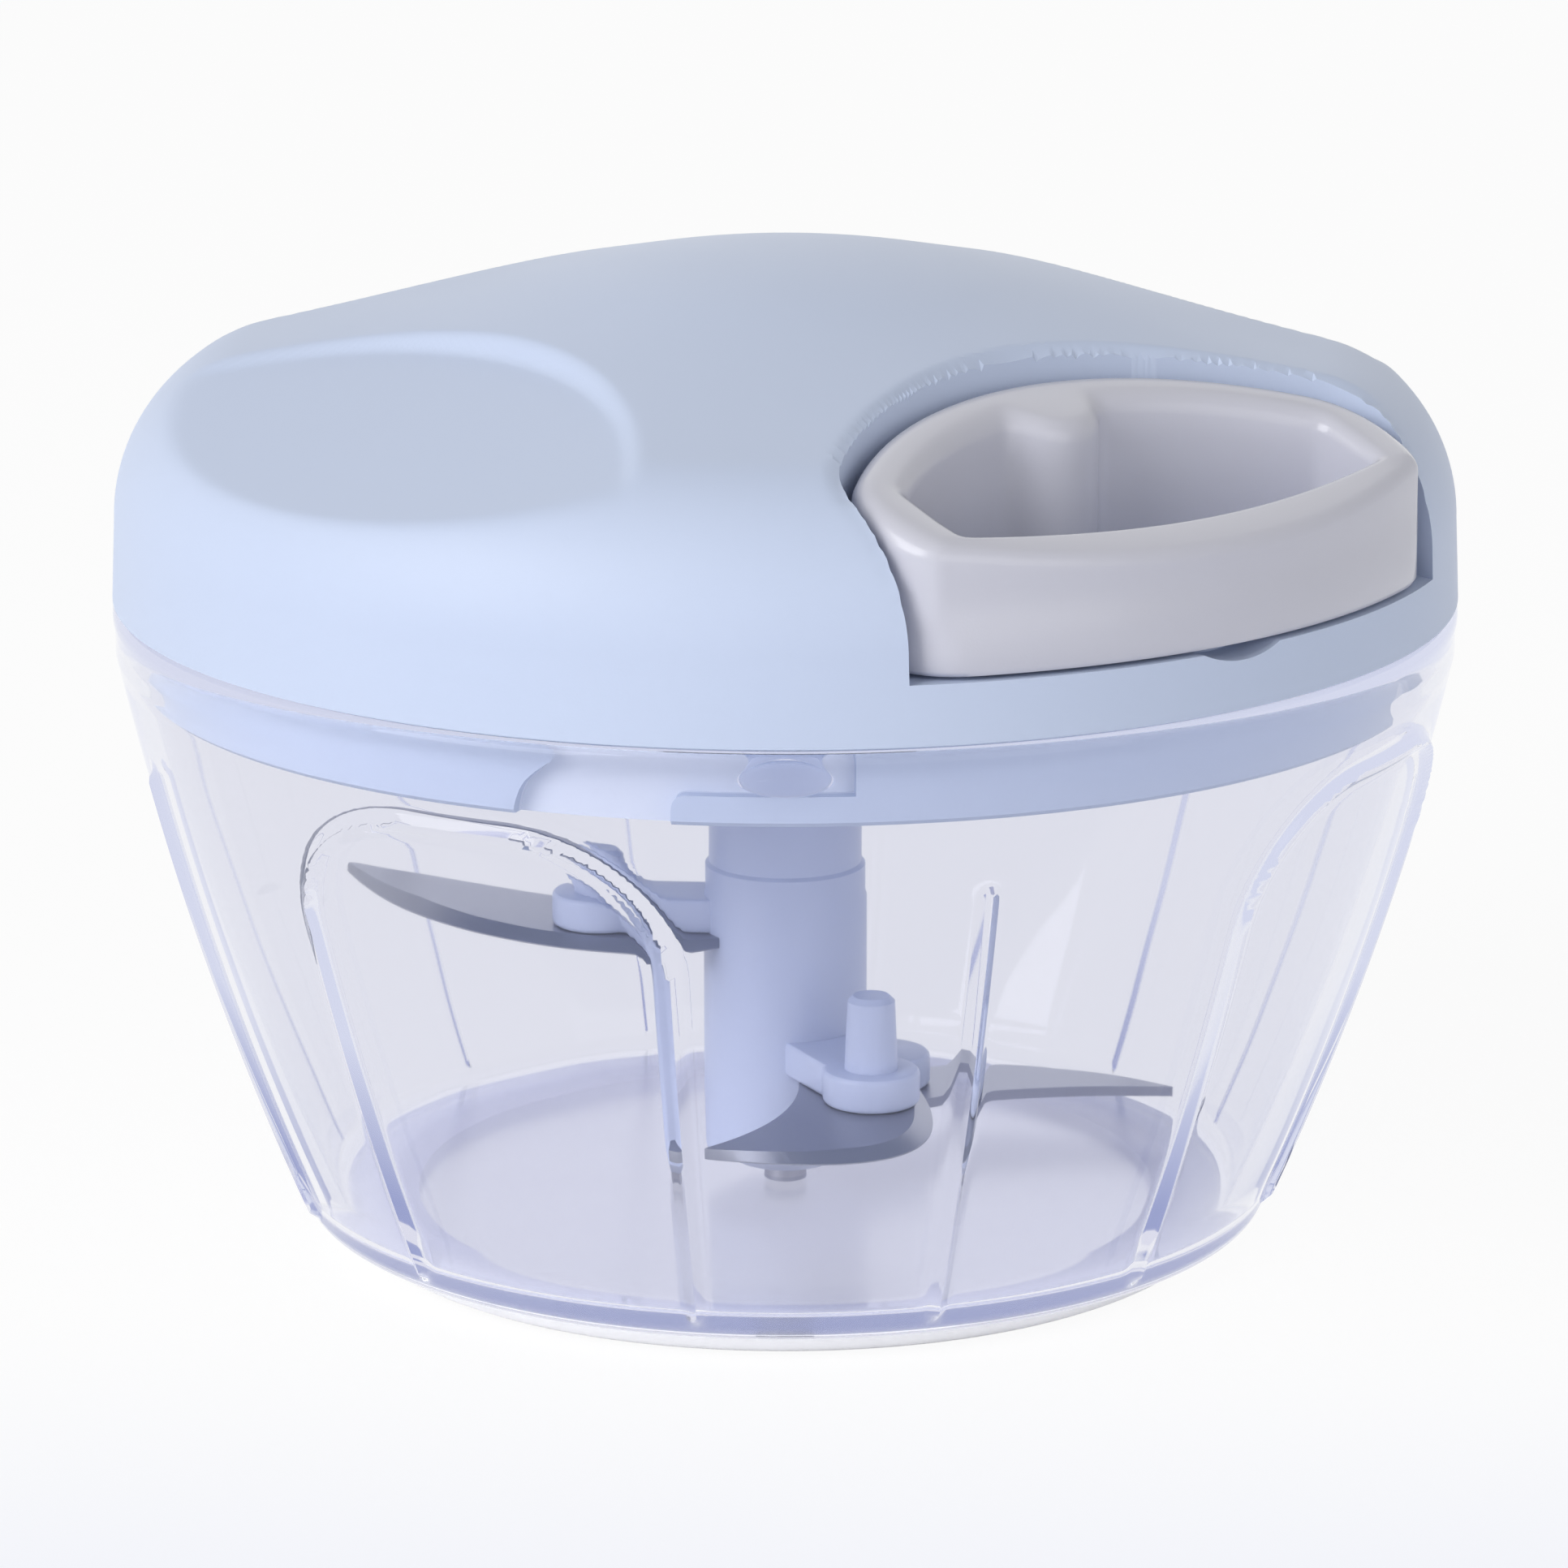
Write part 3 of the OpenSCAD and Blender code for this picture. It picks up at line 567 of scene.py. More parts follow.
def makeLid():
    outer = lidSolid("lidShell", 0, *lid["outerSteps"])
    cut(outer, recessCutter(0))
    inner = lidSolid("lidHollow", lid["wall"], *lid["innerSteps"])
    cut(inner, recessCutter(lid["wall"]))
    cut(outer, inner)
    deep = lid["notchDeep"]
    r = ((lid["notchWide"] / 2) ** 2 + deep ** 2) / (2 * deep)
    z = lid["bottomZ"] + lid["recessFloor"] - deep + r
    ring = arc(0, z, r, 0, 360, lid["notchSteps"])[:-1]
    rings = [[(x, y, h) for y, h in ring] for x in lid["notchX"]]
    verts, faces = loft(rings)
    capEnds(verts, faces, len(ring), 2)
    cut(outer, addPiece("notchCutter", verts, faces))
    shadeSmooth(outer, 32)
    return outer


lidShell = place(makeLid(), "lid", "lid_plastic", finish["lid"], "top_cover")
print("lid made", len(lidShell.data.polygons), "faces")


# the clear bowl with its arched windows and ribs in relief

bowl = dict(rimR=62.3, rimZ=61.5, band=4.5, bandEdge=1, footR=45.6, footZ=2.5, corner=2.4, bulge=1.3, wall=2,
            floor=2.2, floorRound=2, floorRings=(36, 20, 6), underRings=(12, 36), steps=600, wallSteps=100,
            innerSteps=24, roundSteps=6, rimSweep=160, rimSteps=8,
            windows=4, windowAt=-68, windowHalf=18, windowTop=52.5, windowCorner=13,
            ribAt=-23, ribTop=47.6, ridgeWide=0.75, ridgeHigh=0.95, meanR=55, bead=0.2)


def bow(p, q, sag, n):
    # circular arc from p to q that bows out to the right by sag
    chord = math.dist(p, q)
    r = (chord * chord / 4 + sag * sag) / (2 * sag)
    along = ((q[0] - p[0]) / chord, (q[1] - p[1]) / chord)
    side = (along[1], -along[0])
    centre = ((p[0] + q[0]) / 2 - side[0] * (r - sag), (p[1] + q[1]) / 2 - side[1] * (r - sag))
    half = math.asin(chord / (2 * r))
    points = []
    for i in range(n + 1):
        a = half * (2 * i / n - 1)
        points.append(tuple(centre[k] + r * (side[k] * math.cos(a) + along[k] * math.sin(a))
                            for k in range(2)))
    return points


def ridgeHeight(angle, z):
    # relief of the nearest window outline or rib, in millimetres
    quarter = 360 / bowl["windows"]
    perDegree = bowl["meanR"] * math.pi / 180
    across = ((angle - bowl["windowAt"] + quarter / 2) % quarter - quarter / 2) * perDegree
    corner = bowl["windowCorner"]
    dx = abs(across) - (bowl["windowHalf"] * perDegree - corner)
    dz = z - (bowl["windowTop"] - corner)
    frameGap = abs(math.hypot(max(dx, 0), max(dz, 0)) + min(max(dx, dz), 0) - corner)
    along = ((angle - bowl["ribAt"] + quarter / 2) % quarter - quarter / 2) * perDegree
    ribGap = math.hypot(along, max(0, z - bowl["ribTop"]))
    gap = min(frameGap, ribGap)
    return bowl["ridgeHigh"] * math.exp(-(gap / bowl["ridgeWide"]) ** 2)


def makeBowl(b):
    quarterSag = 1 - math.sqrt(0.5)
    low = b["footZ"]
    floorZ = low + b["floor"]
    bandZ = b["rimZ"] - b["band"]
    foot = (b["footR"], low + b["corner"])
    innerR = b["rimR"] - b["wall"]
    wall = bow(foot, (b["rimR"], bandZ), b["bulge"], b["wallSteps"])
    innerFoot = (b["footR"] - b["wall"], floorZ + b["floorRound"])
    inner = bow((innerR, bandZ), innerFoot, -b["bulge"], b["innerSteps"])
    plain = [(r, low) for r in b["underRings"]]
    plain += bow((b["footR"] - b["corner"], low), foot, b["corner"] * quarterSag, b["roundSteps"])[:-1]
    rimRound = b["wall"] / 2
    beadR = b["rimR"] + b["bead"]
    rim = [(b["rimR"], bandZ + b["bandEdge"]), (b["rimR"], b["rimZ"] - 2 * rimRound),
           (beadR, b["rimZ"] - 1.5 * rimRound)]
    rim += arc(beadR - rimRound, b["rimZ"] - rimRound, rimRound, 0, b["rimSweep"], b["rimSteps"])
    rim += [(innerR, b["rimZ"] - rimRound), (innerR, bandZ + b["bandEdge"])]
    end = inner[-1]
    rest = bow(end, (end[0] - b["floorRound"], floorZ), -b["floorRound"] * quarterSag, b["roundSteps"])[1:]
    rest += [(r, floorZ) for r in b["floorRings"]]
    profile = plain + wall + rim + inner + rest
    turns = [360 * j / b["steps"] for j in range(b["steps"])]
    rings = []
    for i, (r, z) in enumerate(profile):
        relief = len(plain) <= i < len(plain) + len(wall)
        ring = []
        for a in turns:
            out = r + (ridgeHeight(a, z) if relief else 0)
            ring.append((out * math.cos(math.radians(a)), out * math.sin(math.radians(a)), z))
        rings.append(ring)
    verts, faces = loft(rings)
    capEnds(verts, faces, b["steps"], len(rings))
    return addPiece("bowlShell", verts, faces, 50)


bowlShell = place(makeBowl(bowl), "base", "clear_bowl", finish["bowl"], "bowl")
print("bowl made", len(bowlShell.data.polygons), "faces")


# repeated and wound pieces come from geometry node trees

def geometryTree(name, inputs):
    tree = bpy.data.node_groups.new(name, "GeometryNodeTree")
    tree.interface.new_socket(name="Geometry", in_out="OUTPUT", socket_type="NodeSocketGeometry")
    for label, kind in inputs:
        tree.interface.new_socket(name=label, in_out="INPUT", socket_type=kind)
    return tree, addNode(tree, "NodeGroupInput"), addNode(tree, "NodeGroupOutput")


def closeTree(tree, source, outs, material):
    realize = addNode(tree, "GeometryNodeRealizeInstances")
    dress = addNode(tree, "GeometryNodeSetMaterial")
    dress.inputs["Material"].default_value = material
    tree.links.new(source, realize.inputs["Geometry"])
    tree.links.new(realize.outputs["Geometry"], dress.inputs["Geometry"])
    tree.links.new(dress.outputs["Geometry"], outs.inputs["Geometry"])


def runTree(name, tree, values):
    carrier = bpy.data.objects.new(name, bpy.data.meshes.new(name))
    scene.collection.objects.link(carrier)
    step = carrier.modifiers.new("build", "NODES")
    step.node_group = tree
    for socket in tree.interface.items_tree:
        if socket.in_out == "INPUT":
            step[socket.identifier] = values[socket.name]
    bakeModifiers(carrier)
    shadeSmooth(carrier)
    return carrier


lugs = {"Count": 4, "Radius": 59.9 * mm, "Start": math.radians(-40), "Height": 58.8 * mm,
        "Size": (2.2 * mm, 4.15 * mm, 1.6 * mm)}
lugFineness = {"Segments": 32, "Rings": 16}


def lugTree(material):
    # flattened balls in a ring, each turned to face the axis
    tree, ins, outs = geometryTree("lugRing", [("Count", "NodeSocketInt"), ("Radius", "NodeSocketFloat"),
                                               ("Start", "NodeSocketFloat"), ("Height", "NodeSocketFloat"),
                                               ("Size", "NodeSocketVector")])
    links = tree.links
    circle = addNode(tree, "GeometryNodeMeshCircle")
    links.new(ins.outputs["Count"], circle.inputs["Vertices"])
    links.new(ins.outputs["Radius"], circle.inputs["Radius"])
    spin = addNode(tree, "ShaderNodeCombineXYZ")
    lift = addNode(tree, "ShaderNodeCombineXYZ")
    links.new(ins.outputs["Start"], spin.inputs["Z"])
    links.new(ins.outputs["Height"], lift.inputs["Z"])
    turn = addNode(tree, "GeometryNodeTransform")
    links.new(circle.outputs["Mesh"], turn.inputs["Geometry"])
    links.new(spin.outputs["Vector"], turn.inputs["Rotation"])
    links.new(lift.outputs["Vector"], turn.inputs["Translation"])
    ball = addNode(tree, "GeometryNodeMeshUVSphere", lugFineness)
    flatten = addNode(tree, "GeometryNodeTransform")
    links.new(ball.outputs["Mesh"], flatten.inputs["Geometry"])
    links.new(ins.outputs["Size"], flatten.inputs["Scale"])
    index = addNode(tree, "GeometryNodeInputIndex")
    share = addNode(tree, "ShaderNodeMath", operation="DIVIDE")
    links.new(index.outputs["Index"], share.inputs[0])
    links.new(ins.outputs["Count"], share.inputs[1])
    angle = addNode(tree, "ShaderNodeMath", {1: 2 * math.pi}, operation="MULTIPLY_ADD")
    links.new(share.outputs["Value"], angle.inputs[0])
    links.new(ins.outputs["Start"], angle.inputs[2])
    face = addNode(tree, "ShaderNodeCombineXYZ")
    links.new(angle.outputs["Value"], face.inputs["Z"])
    copies = addNode(tree, "GeometryNodeInstanceOnPoints")
    links.new(turn.outputs["Geometry"], copies.inputs["Points"])
    links.new(flatten.outputs["Geometry"], copies.inputs["Instance"])
    links.new(face.outputs["Vector"], copies.inputs["Rotation"])
    closeTree(tree, copies.outputs["Instances"], outs, material)
    return tree


bowlLugs = place(runTree("bowlLugs", lugTree(finish["lug"]), lugs), "base", "clear_bowl", finish["lug"])

winding = {"Turns": 4, "Radius": 19.85 * mm, "Rise": 6.9 * mm, "Thickness": 1.1 * mm, "Base": 68.85 * mm}
windingFineness = dict(perTurn=48, round=12)
windingCore = [(17.1, 67.7), (18.7, 67.7), (18.7, 76.9), (17.1, 76.9)]


def windingTree(material):
    # the outer layer of cord on the drum
    sizes = [(label, "NodeSocketFloat") for label in ("Turns", "Radius", "Rise", "Thickness", "Base")]
    tree, ins, outs = geometryTree("cordTurns", sizes)
    links = tree.links
    coil = addNode(tree, "GeometryNodeCurveSpiral", {"Resolution": windingFineness["perTurn"]})
    links.new(ins.outputs["Turns"], coil.inputs["Rotations"])
    links.new(ins.outputs["Radius"], coil.inputs["Start Radius"])
    links.new(ins.outputs["Radius"], coil.inputs["End Radius"])
    links.new(ins.outputs["Rise"], coil.inputs["Height"])
    ring = addNode(tree, "GeometryNodeCurvePrimitiveCircle", {"Resolution": windingFineness["round"]})
    links.new(ins.outputs["Thickness"], ring.inputs["Radius"])
    tube = addNode(tree, "GeometryNodeCurveToMesh", {"Fill Caps": True})
    links.new(coil.outputs["Curve"], tube.inputs["Curve"])
    links.new(ring.outputs["Curve"], tube.inputs["Profile Curve"])
    lift = addNode(tree, "ShaderNodeCombineXYZ")
    links.new(ins.outputs["Base"], lift.inputs["Z"])
    raised = addNode(tree, "GeometryNodeTransform")
    links.new(tube.outputs["Mesh"], raised.inputs["Geometry"])
    links.new(lift.outputs["Vector"], raised.inputs["Translation"])
    closeTree(tree, raised.outputs["Geometry"], outs, material)
    return tree


cordTurns = runTree("cordTurns", windingTree(finish["cord"]), winding)
place(cordTurns, "rotor", "cord", finish["cord"], "cord_winding")
place(revolve("windingCore", windingCore), "rotor", "cord", finish["cord"])
print("lugs and cord winding made")


# the white ring under the bowl

gripRing = dict(inner=35, outer=40, topR=42.7, height=2.42, edge=0.5, flare=0.25, flareSteps=6, steps=160)


def makeGripRing(g):
    e = g["edge"]
    section = [(g["inner"], e), (g["inner"] + e, 0), (g["outer"] - e, 0)]
    section += bow((g["outer"] - e, 0), (g["topR"], g["height"]), g["flare"], g["flareSteps"])[1:]
    section += [(g["inner"], g["height"])]
    return revolve("gripRing", section, g["steps"])


place(makeGripRing(gripRing), "base", "grip_rubber", finish["grip"], "base_grip_ring")


# the ring handle, lofted between its outer and inner outlines

handle = dict(centre=(48.5, 0), outerArc=43.5, half=30.3, backCorner=3, frontR=62.0, proudR=61.5, corner=4,
              holeArc=38.7, holeHalf=24.6, holeFrontX=57.0, holeFrontArc=80, holeCorner=0.9,
              bossX=35.8, bossR=5, bossSoft=2, bottomZ=67.7, drop=0.2, lowEdge=0.5,
              outerRound=2.2, innerRound=1.7, slim=(50, 57), slimShare=0.5, reach=60, steps=360, edgeSteps=6)


def handleOuter(x, y):
    toArc = math.hypot(x - lid["scoopOff"], y) - handle["outerArc"]
    back = softMax(toArc, abs(y) - handle["half"], handle["backCorner"])
    return softMax(back, math.hypot(x, y) - handle["frontR"], handle["corner"])


def handleHole(x, y):
    corner = handle["holeCorner"]
    toArc = math.hypot(x - lid["scoopOff"], y) - handle["holeArc"]
    back = softMax(toArc, abs(y) - handle["holeHalf"], corner)
    front = math.hypot(x - handle["holeFrontX"] + handle["holeFrontArc"], y) - handle["holeFrontArc"]
    ring = softMax(back, front, corner)
    return softMax(ring, handle["bossR"] - math.hypot(x - handle["bossX"], y), handle["bossSoft"])


def domeRadius(z):
    # the lid's outside at height z; the handle's front follows it, but stands proud near its top
    if z <= dome["z"]:
        return lid["radius"] - lid["lean"] * (z - lid["bottomZ"]) / (dome["z"] - lid["bottomZ"])
    return dome["x"] + math.sqrt(max(lid["shoulder"] ** 2 - (z - dome["z"]) ** 2, 0))


def edgeShare(x):
    # the slim front bar has less rounding than the rest
    return 1 - handle["slimShare"] * smoothStep(*handle["slim"], x)


def handleSection():
    # rows round the bar: side, millimetres inwards, and height from the bottom, up the wall or from the top
    h = handle
    n = h["edgeSteps"]
    rows = [("outer", h["lowEdge"], "low", 0), ("outer", 0, "low", h["lowEdge"])]
    rows += [("outer", 0, "wall", i / n) for i in range(1, n)]
    for side, steps in (("outer", range(n + 1)), ("inner", range(n, -1, -1))):
        r = h[side + "Round"]
        for i in steps:
            a = math.pi / 2 * i / n
            rows.append((side, r * (1 - math.cos(a)), "top", r * (1 - math.sin(a))))
    rows += [("inner", 0, "wall", 1 - i / n) for i in range(1, n)]
    return rows + [("inner", 0, "low", h["lowEdge"]), ("inner", h["lowEdge"], "low", 0)]


def handleEdge(side, inward):
    # the outer outline moved in, or the hole's moved out
    if side == "outer":
        return lambda x, y: handleOuter(x, y) + inward * edgeShare(x)
    return lambda x, y: handleHole(x, y) - inward * edgeShare(x)


def makeHandle():
    h = handle
    rings = []
    for side, inward, level, amount in handleSection():
        ring = []
        for x, y in outlineByRays(h["centre"], handleEdge(side, inward), h["reach"], h["steps"]):
            top = dome["scoopZ"] - h["drop"] - lid["fall"] * x
            share = edgeShare(x)
            wallLow = h["bottomZ"] + h["lowEdge"]
            wallHigh = top - share * h[side + "Round"]
            z = {"low": h["bottomZ"] + amount,
                 "wall": wallLow + (wallHigh - wallLow) * amount,
                 "top": top - amount * share}[level]
            limit = max(domeRadius(z) - h["drop"], h["proudR"]) - inward * share
            far = math.hypot(x, y)
            if side == "outer" and far > limit:
                x *= limit / far
                y *= limit / far
            ring.append((x, y, z))
        rings.append(ring)
    verts, faces = loft(rings, closed=True)
    return addPiece("ringHandle", verts, faces, 60)


ringHandle = place(makeHandle(), "handle", "handle_plastic", finish["handle"], "pull_handle")
print("handle made")


# three sickle blades with a ground bevel along the convex edge

blades = dict(
    upper=dict(angle=-133, z=28, tip=(44, -20), edgePull=(34, 6), backPull=(26, -10)),
    middle=dict(angle=-13, z=15.5, tip=(23.4, -20.3), edgePull=(44, 0), backPull=(20, -8)),
    lower=dict(angle=107, z=8, tip=(31, -25), edgePull=(38, 0), backPull=(24, -9)),
)
bladeForm = dict(thick=1, land=0.12, bevel=1.7, tipFade=0.3, root=(10, 8), backRoot=(7.9, -2.6), columnR=7.74,
                 hubArc=(-16, 40), hubSteps=14, steps=40)


def quadCurve(a, c, b, n):
    return [tuple(a[k] * (1 - t) ** 2 + c[k] * 2 * t * (1 - t) + b[k] * t * t for k in range(2))
            for t in (i / n for i in range(n + 1))]


def makeBlade(name, b):
    f = bladeForm
    n = f["steps"]
    edge = quadCurve(f["root"], b["edgePull"], b["tip"], n)
    back = quadCurve(b["tip"], b["backPull"], f["backRoot"], n)
    hub = arc(0, 0, f["columnR"], *f["hubArc"], f["hubSteps"])
    outline = edge + back[1:] + hub
    top = []
    for i, (x, y) in enumerate(edge):
        p = edge[max(i - 1, 0)]
        q = edge[min(i + 1, n)]
        run = math.dist(p, q)
        width = f["bevel"] * min(1, (n - i) / (f["tipFade"] * n))
        top.append((x + (q[1] - p[1]) / run * width, y - (q[0] - p[0]) / run * width))
    top += back[1:] + hub
    levels = [(outline, 0), (outline, f["land"]), (top, f["thick"])]
    turn = math.radians(b["angle"])
    rings = [[(x * math.cos(turn) - y * math.sin(turn), x * math.sin(turn) + y * math.cos(turn), b["z"] + dz)
              for x, y in loop] for loop, dz in levels]
    verts, faces = loft(rings)
    count = len(outline)
    faces += [tuple(range(count)), tuple(range(2 * count, 3 * count))]
    return addPiece(name, verts, faces, 15)


for key, facts in blades.items():
    place(makeBlade(key + "Sickle", facts), "rotor", "blade_steel", finish["blade"], key + "_blade")
print("blades made")


# the blade column with its arms and pegs

column = dict(r=7.7, neckR=7.2, low=6.3, endR=4.8, endRise=1.6, collarZ=32.5, collarEdge=0.4, collarStep=0.15,
              neckZ=35.5, neckEdge=0.3, top=58.5, edge=0.5, boreR=2.05, socketR=5.45, socketZ=45.4, steps=96,
              armW=7, armT=3.2, armRoot=2, armReach=17.5, armEndR=4.5, armRound=0.6, armSteps=40,
              pegR=2.5, pegTopR=2.2, pegSink=0.5, pegEdge=0.5, pegAxis=0.01, pegSteps=48)
# angle, height and peg height of each arm
columnArms = ((-133, 29, 4), (-13, 16.5, 7), (107, 9, 0))


def makeArm(angle, z, pegHeight):
    c = column
    half = c["armW"] / 2
    turn = math.degrees(math.asin(half / c["armEndR"]))
    end = arc(c["armReach"], 0, c["armEndR"], -180 + turn, 180 - turn, c["armSteps"])
    outline = [(c["armRoot"], -half)] + end + [(c["armRoot"], half)]
    arm = prism("arm", outline, z, z + c["armT"])
    roundEdges(arm, c["armRound"])
    pieces = [arm]
    if pegHeight:
        base = z + c["armT"] - c["pegSink"]
        tip = z + c["armT"] + pegHeight
        e = c["pegEdge"]
        section = [(c["pegAxis"], base), (c["pegR"], base), (c["pegTopR"], tip - e), (c["pegTopR"] - e, tip),
                   (c["pegAxis"], tip)]
        peg = revolve("peg", section, c["pegSteps"])
        for v in peg.data.vertices:
            v.co.x += c["armReach"] * mm
        pieces.append(peg)
    a = math.radians(angle)
    for piece in pieces:
        for v in piece.data.vertices:
            x, y = v.co.x, v.co.y
            v.co.x = x * math.cos(a) - y * math.sin(a)
            v.co.y = x * math.sin(a) + y * math.cos(a)
    return pieces


def makeColumn():
    c = column
    e = c["edge"]
    collarR = c["r"] - c["collarStep"]
    section = [(c["boreR"], c["low"]), (c["endR"], c["low"]), (c["r"], c["low"] + c["endRise"]),
               (c["r"], c["collarZ"] - c["collarEdge"]), (collarR, c["collarZ"]),
               (collarR, c["neckZ"] - c["neckEdge"]), (c["neckR"], c["neckZ"]), (c["neckR"], c["top"] - e),
               (c["neckR"] - e, c["top"]), (c["socketR"], c["top"]), (c["socketR"], c["socketZ"]),
               (c["boreR"], c["socketZ"])]
    body = revolve("bladeColumn", section, c["steps"])
    for facts in columnArms:
        for piece in makeArm(*facts):
            cut(body, piece, "UNION")
    shadeSmooth(body, 30)
    return body


place(makeColumn(), "rotor", "column_plastic", finish["column"], "blade_column")
print("column made")


# the lower cover, whose grooved skirt shows through the bowl

lowerCover = dict(bottomZ=61.9, plate=1.8, plateR=60.3, skirtR=58.9, skirtWall=2.7, skirtZ=54.3, holeR=9.5,
                  edge=0.4, steps=256, grooves=4, grooveDeep=1.6, grooveAt=-40, grooveLow=-23.4,
                  grooveHigh=5.9, grooveTop=60.9, rampWide=10, rampSteps=14, gateSteps=3,
                  ledgeZ=56.9, ledgeLow=-9.6, ledgeRound=1.2, ledgeFace=0.02,
                  noseSteps=6, ledgeSteps=8, cutPast=1,
                  # the next tone is painted light on the groove floors, in a band this wide
                  paintedGrooveLightTone=(0.78, 0.83, 0.93), floorBand=0.5)


def grooveColumns(c):
    # (degrees, low, high) along one groove: a curved ramp in, then a ledge under the lug up to the end wall
    perDegree = c["skirtR"] * math.pi / 180
    low = c["skirtZ"] - c["cutPast"]
    top = c["grooveTop"]
    rampEnd = c["grooveLow"] + c["rampWide"]
    gateEnd = c["ledgeLow"] - c["ledgeFace"]
    r = c["ledgeRound"]
    noseEnd = c["ledgeLow"] + r / perDegree
    columns = []
    for i in range(c["rampSteps"] + 1):
        a = math.pi / 2 * i / c["rampSteps"]
        columns.append((c["grooveLow"] + c["rampWide"] * (1 - math.cos(a)), low,
                        c["skirtZ"] + (top - c["skirtZ"]) * math.sin(a)))
    for i in range(1, c["gateSteps"] + 1):
        columns.append((rampEnd + (gateEnd - rampEnd) * i / c["gateSteps"], low, top))
    for i in range(c["noseSteps"] + 1):
        a = math.pi / 2 * i / c["noseSteps"]
        columns.append((c["ledgeLow"] + r * (1 - math.cos(a)) / perDegree,
                        c["ledgeZ"] - r * (1 - math.sin(a)), top))
    for i in range(1, c["ledgeSteps"] + 1):
        columns.append((noseEnd + (c["grooveHigh"] - noseEnd) * i / c["ledgeSteps"], c["ledgeZ"], top))
    return columns


def paintGrooveLight(material, c):
    # painted light: the floors of the grooves are painted paler than the skirt, for the light the real
    # grooves show
    tree = material.node_tree
    shader = tree.nodes["Principled BSDF"]
    where = addNode(tree, "ShaderNodeTexCoord")
    floorR = c["skirtR"] - c["grooveDeep"]
    floors = addNode(tree, "ShaderNodeMath", {1: floorR * mm, 2: c["floorBand"] * mm}, operation="COMPARE")
    tree.links.new(axisDistance(tree, where), floors.inputs[0])
    plain = shader.inputs["Base Color"].links[0].from_socket
    tone = blendTones(tree, floors.outputs["Value"], plain, c["paintedGrooveLightTone"])
    tree.links.new(tone, shader.inputs["Base Color"])


def makeLowerCover(c):
    e = c["edge"]
    top = c["bottomZ"] + c["plate"]
    inner = c["skirtR"] - c["skirtWall"]
    section = [(c["holeR"], c["bottomZ"]), (inner, c["bottomZ"]), (inner, c["skirtZ"] + e),
               (inner + e, c["skirtZ"]), (c["skirtR"] - e, c["skirtZ"]), (c["skirtR"], c["skirtZ"] + e),
               (c["skirtR"], c["bottomZ"]), (c["plateR"], c["bottomZ"]), (c["plateR"], top),
               (c["holeR"], top)]
    cover = revolve("skirtCover", section, c["steps"], 25)
    floorR = c["skirtR"] - c["grooveDeep"]
    outerR = c["skirtR"] + c["cutPast"]
    for i in range(c["grooves"]):
        turn = c["grooveAt"] + 360 * i / c["grooves"]
        rings = []
        for degrees, low, high in grooveColumns(c):
            a = math.radians(degrees + turn)
            corners = ((floorR, low), (outerR, low), (outerR, high), (floorR, high))
            rings.append([(r * math.cos(a), r * math.sin(a), z) for r, z in corners])
        verts, faces = loft(rings)
        capEnds(verts, faces, len(rings[0]), len(rings))
        cut(cover, addPiece("grooveCutter", verts, faces))
    shadeSmooth(cover, 25)
    return cover


# groove floors painted paler, as painted light
paintGrooveLight(finish["skirt"], lowerCover)
place(makeLowerCover(lowerCover), "lid", "lid_plastic", finish["skirt"], "lower_cover")
print("lower cover made")


# the cord from the eyelet to the handle

cordLine = dict(start=28.7, eyelet=31.6, boss=33.6, end=34.5, z=72.3, radius=1.1, sides=16, rings=24)


def makeCordLine(c):
    rings = []
    for i in range(c["rings"] + 1):
        x = c["start"] + (c["end"] - c["start"]) * i / c["rings"]
        turns = [2 * math.pi * j / c["sides"] for j in range(c["sides"])]
        rings.append([(x, c["radius"] * math.cos(a), c["z"] + c["radius"] * math.sin(a)) for a in turns])
    verts, faces = loft(rings)
    capEnds(verts, faces, c["sides"], len(rings))
    return addPiece("pullCord", verts, faces)


pullCord = makeCordLine(cordLine)
paint(pullCord, finish["cord"])
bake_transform(pullCord)
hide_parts("cord_lead")
print("cord made")


# finishes of the pieces that keep their own solids

keptNodes = dict(
    steel=("pivot_pin", "cover_screws", "mainspring", "reel_washer", "reel_screw", "cord_eyelet"),
    inner=("hub_bush", "cord_reel", "spring_cap", "drive_hub"),
    cord=("cord_run", "cord_knot"),
)
for finishName, nodeNames in keptNodes.items():
    for nodeName in nodeNames:
        paint(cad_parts[nodeName], finish[finishName])
print("kept solids painted")


# pale floor, white surround and soft studio light

stageLook = dict(floorSize=30, floorGap=0.0002, rough=0.9, tint=(0.86, 0.88, 0.965), far=(1, 1, 1),
                 tintSpan=(-20, -160), show=0.93, horizon=0.74, zenith=0.06)
lampAim = Vector((0, 0, 0.05))
lamps = dict(
    key=dict(at=(-0.08, -1.17, 0.75), size=0.9, power=11.8),
    fill=dict(at=(1.0, -0.1, 0.4), size=0.9, power=2.3),
    back=dict(at=(-0.7, 0.8, 0.5), size=0.8, power=0.8),
)


def backgroundRays(tree):
    # one for camera, glossy and transmission rays
    path = addNode(tree, "ShaderNodeLightPath")
    total = path.outputs["Is Camera Ray"]
    for label in ("Is Glossy Ray", "Is Transmission Ray"):
        join = addNode(tree, "ShaderNodeMath", operation="MAXIMUM")
        tree.links.new(total, join.inputs[0])
        tree.links.new(path.outputs[label], join.inputs[1])
        total = join.outputs["Value"]
    return total


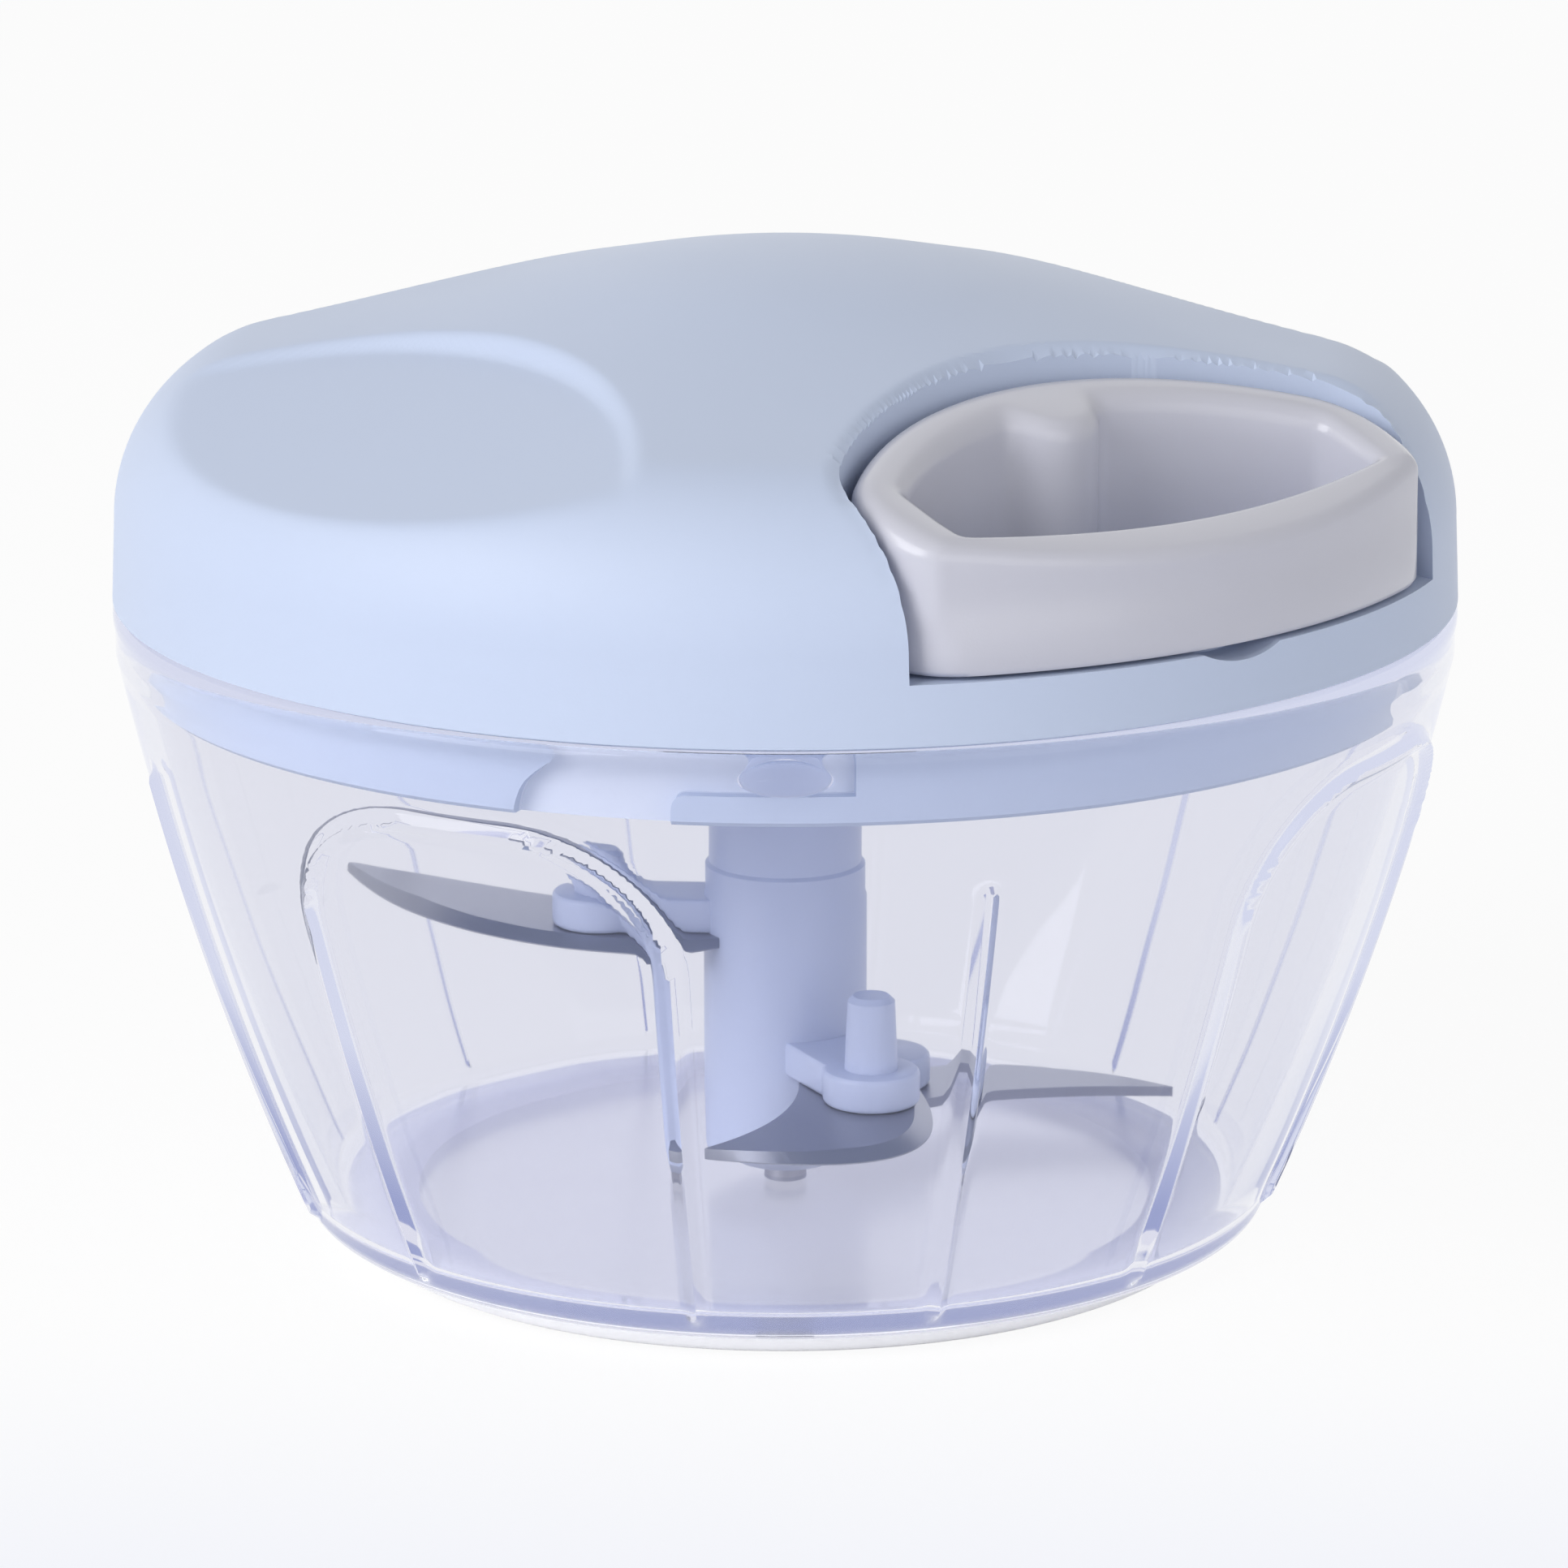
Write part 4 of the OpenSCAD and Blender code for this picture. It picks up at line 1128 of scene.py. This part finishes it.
def makeFloor(s):
    mesh = bpy.data.meshes.new("floor")
    half = s["floorSize"] / 2
    corners = [(-half, -half, 0), (half, -half, 0), (half, half, 0), (-half, half, 0)]
    mesh.from_pydata(corners, [], [(0, 1, 2, 3)])
    floor = bpy.data.objects.new("floor", mesh)
    floor.location.z = -s["floorGap"]
    scene.collection.objects.link(floor)
    material, tree, shader = newMaterial("paleFloor")
    links = tree.links
    where = addNode(tree, "ShaderNodeTexCoord")
    turn = addNode(tree, "ShaderNodeMapping", {"Rotation": (0, 0, math.radians(-camera["azimuth"]))})
    split = addNode(tree, "ShaderNodeSeparateXYZ")
    links.new(where.outputs["Object"], turn.inputs["Vector"])
    links.new(turn.outputs["Vector"], split.inputs["Vector"])
    tone = blendTones(tree, spread(tree, split.outputs["Y"], s["tintSpan"]), s["far"], s["tint"])
    glow = addNode(tree, "ShaderNodeEmission")
    mixer = addNode(tree, "ShaderNodeMixShader")
    weight = addNode(tree, "ShaderNodeMath", {1: s["show"]}, operation="MULTIPLY")
    links.new(backgroundRays(tree), weight.inputs[0])
    links.new(tone, shader.inputs["Base Color"])
    links.new(tone, glow.inputs["Color"])
    links.new(weight.outputs["Value"], mixer.inputs["Fac"])
    links.new(shader.outputs["BSDF"], mixer.inputs[1])
    links.new(glow.outputs["Emission"], mixer.inputs[2])
    links.new(mixer.outputs["Shader"], tree.nodes["Material Output"].inputs["Surface"])
    shader.inputs["Roughness"].default_value = s["rough"]
    shader.inputs["Specular IOR Level"].default_value = 0
    paint(floor, material)


def makeSurround(s):
    # a white room that gives less light from overhead than from the sides
    world = bpy.data.worlds.new("whiteRoom")
    scene.world = world
    world.use_nodes = True
    tree = world.node_tree
    sky = tree.nodes["Background"]
    sky.inputs["Color"].default_value = (1, 1, 1, 1)
    where = addNode(tree, "ShaderNodeTexCoord")
    split = addNode(tree, "ShaderNodeSeparateXYZ")
    dim = addNode(tree, "ShaderNodeMapRange", {"To Min": s["horizon"], "To Max": s["zenith"]})
    level = addNode(tree, "ShaderNodeMapRange", {"To Max": 1})
    tree.links.new(where.outputs["Generated"], split.inputs["Vector"])
    tree.links.new(split.outputs["Z"], dim.inputs["Value"])
    tree.links.new(dim.outputs["Result"], level.inputs["To Min"])
    tree.links.new(backgroundRays(tree), level.inputs["Value"])
    tree.links.new(level.outputs["Result"], sky.inputs["Strength"])


def makeLamp(name, facts):
    data = bpy.data.lights.new(name, "AREA")
    data.energy = facts["power"]
    data.size = facts["size"]
    lamp = bpy.data.objects.new(name, data)
    lamp.location = facts["at"]
    lamp.rotation_mode = "QUATERNION"
    lamp.rotation_quaternion = (lampAim - lamp.location).to_track_quat("-Z", "Y")
    scene.collection.objects.link(lamp)


makeFloor(stageLook)
makeSurround(stageLook)
for lampName, lampFacts in lamps.items():
    makeLamp(lampName, lampFacts)
scene.view_settings.view_transform = "Standard"
print("stage lit")
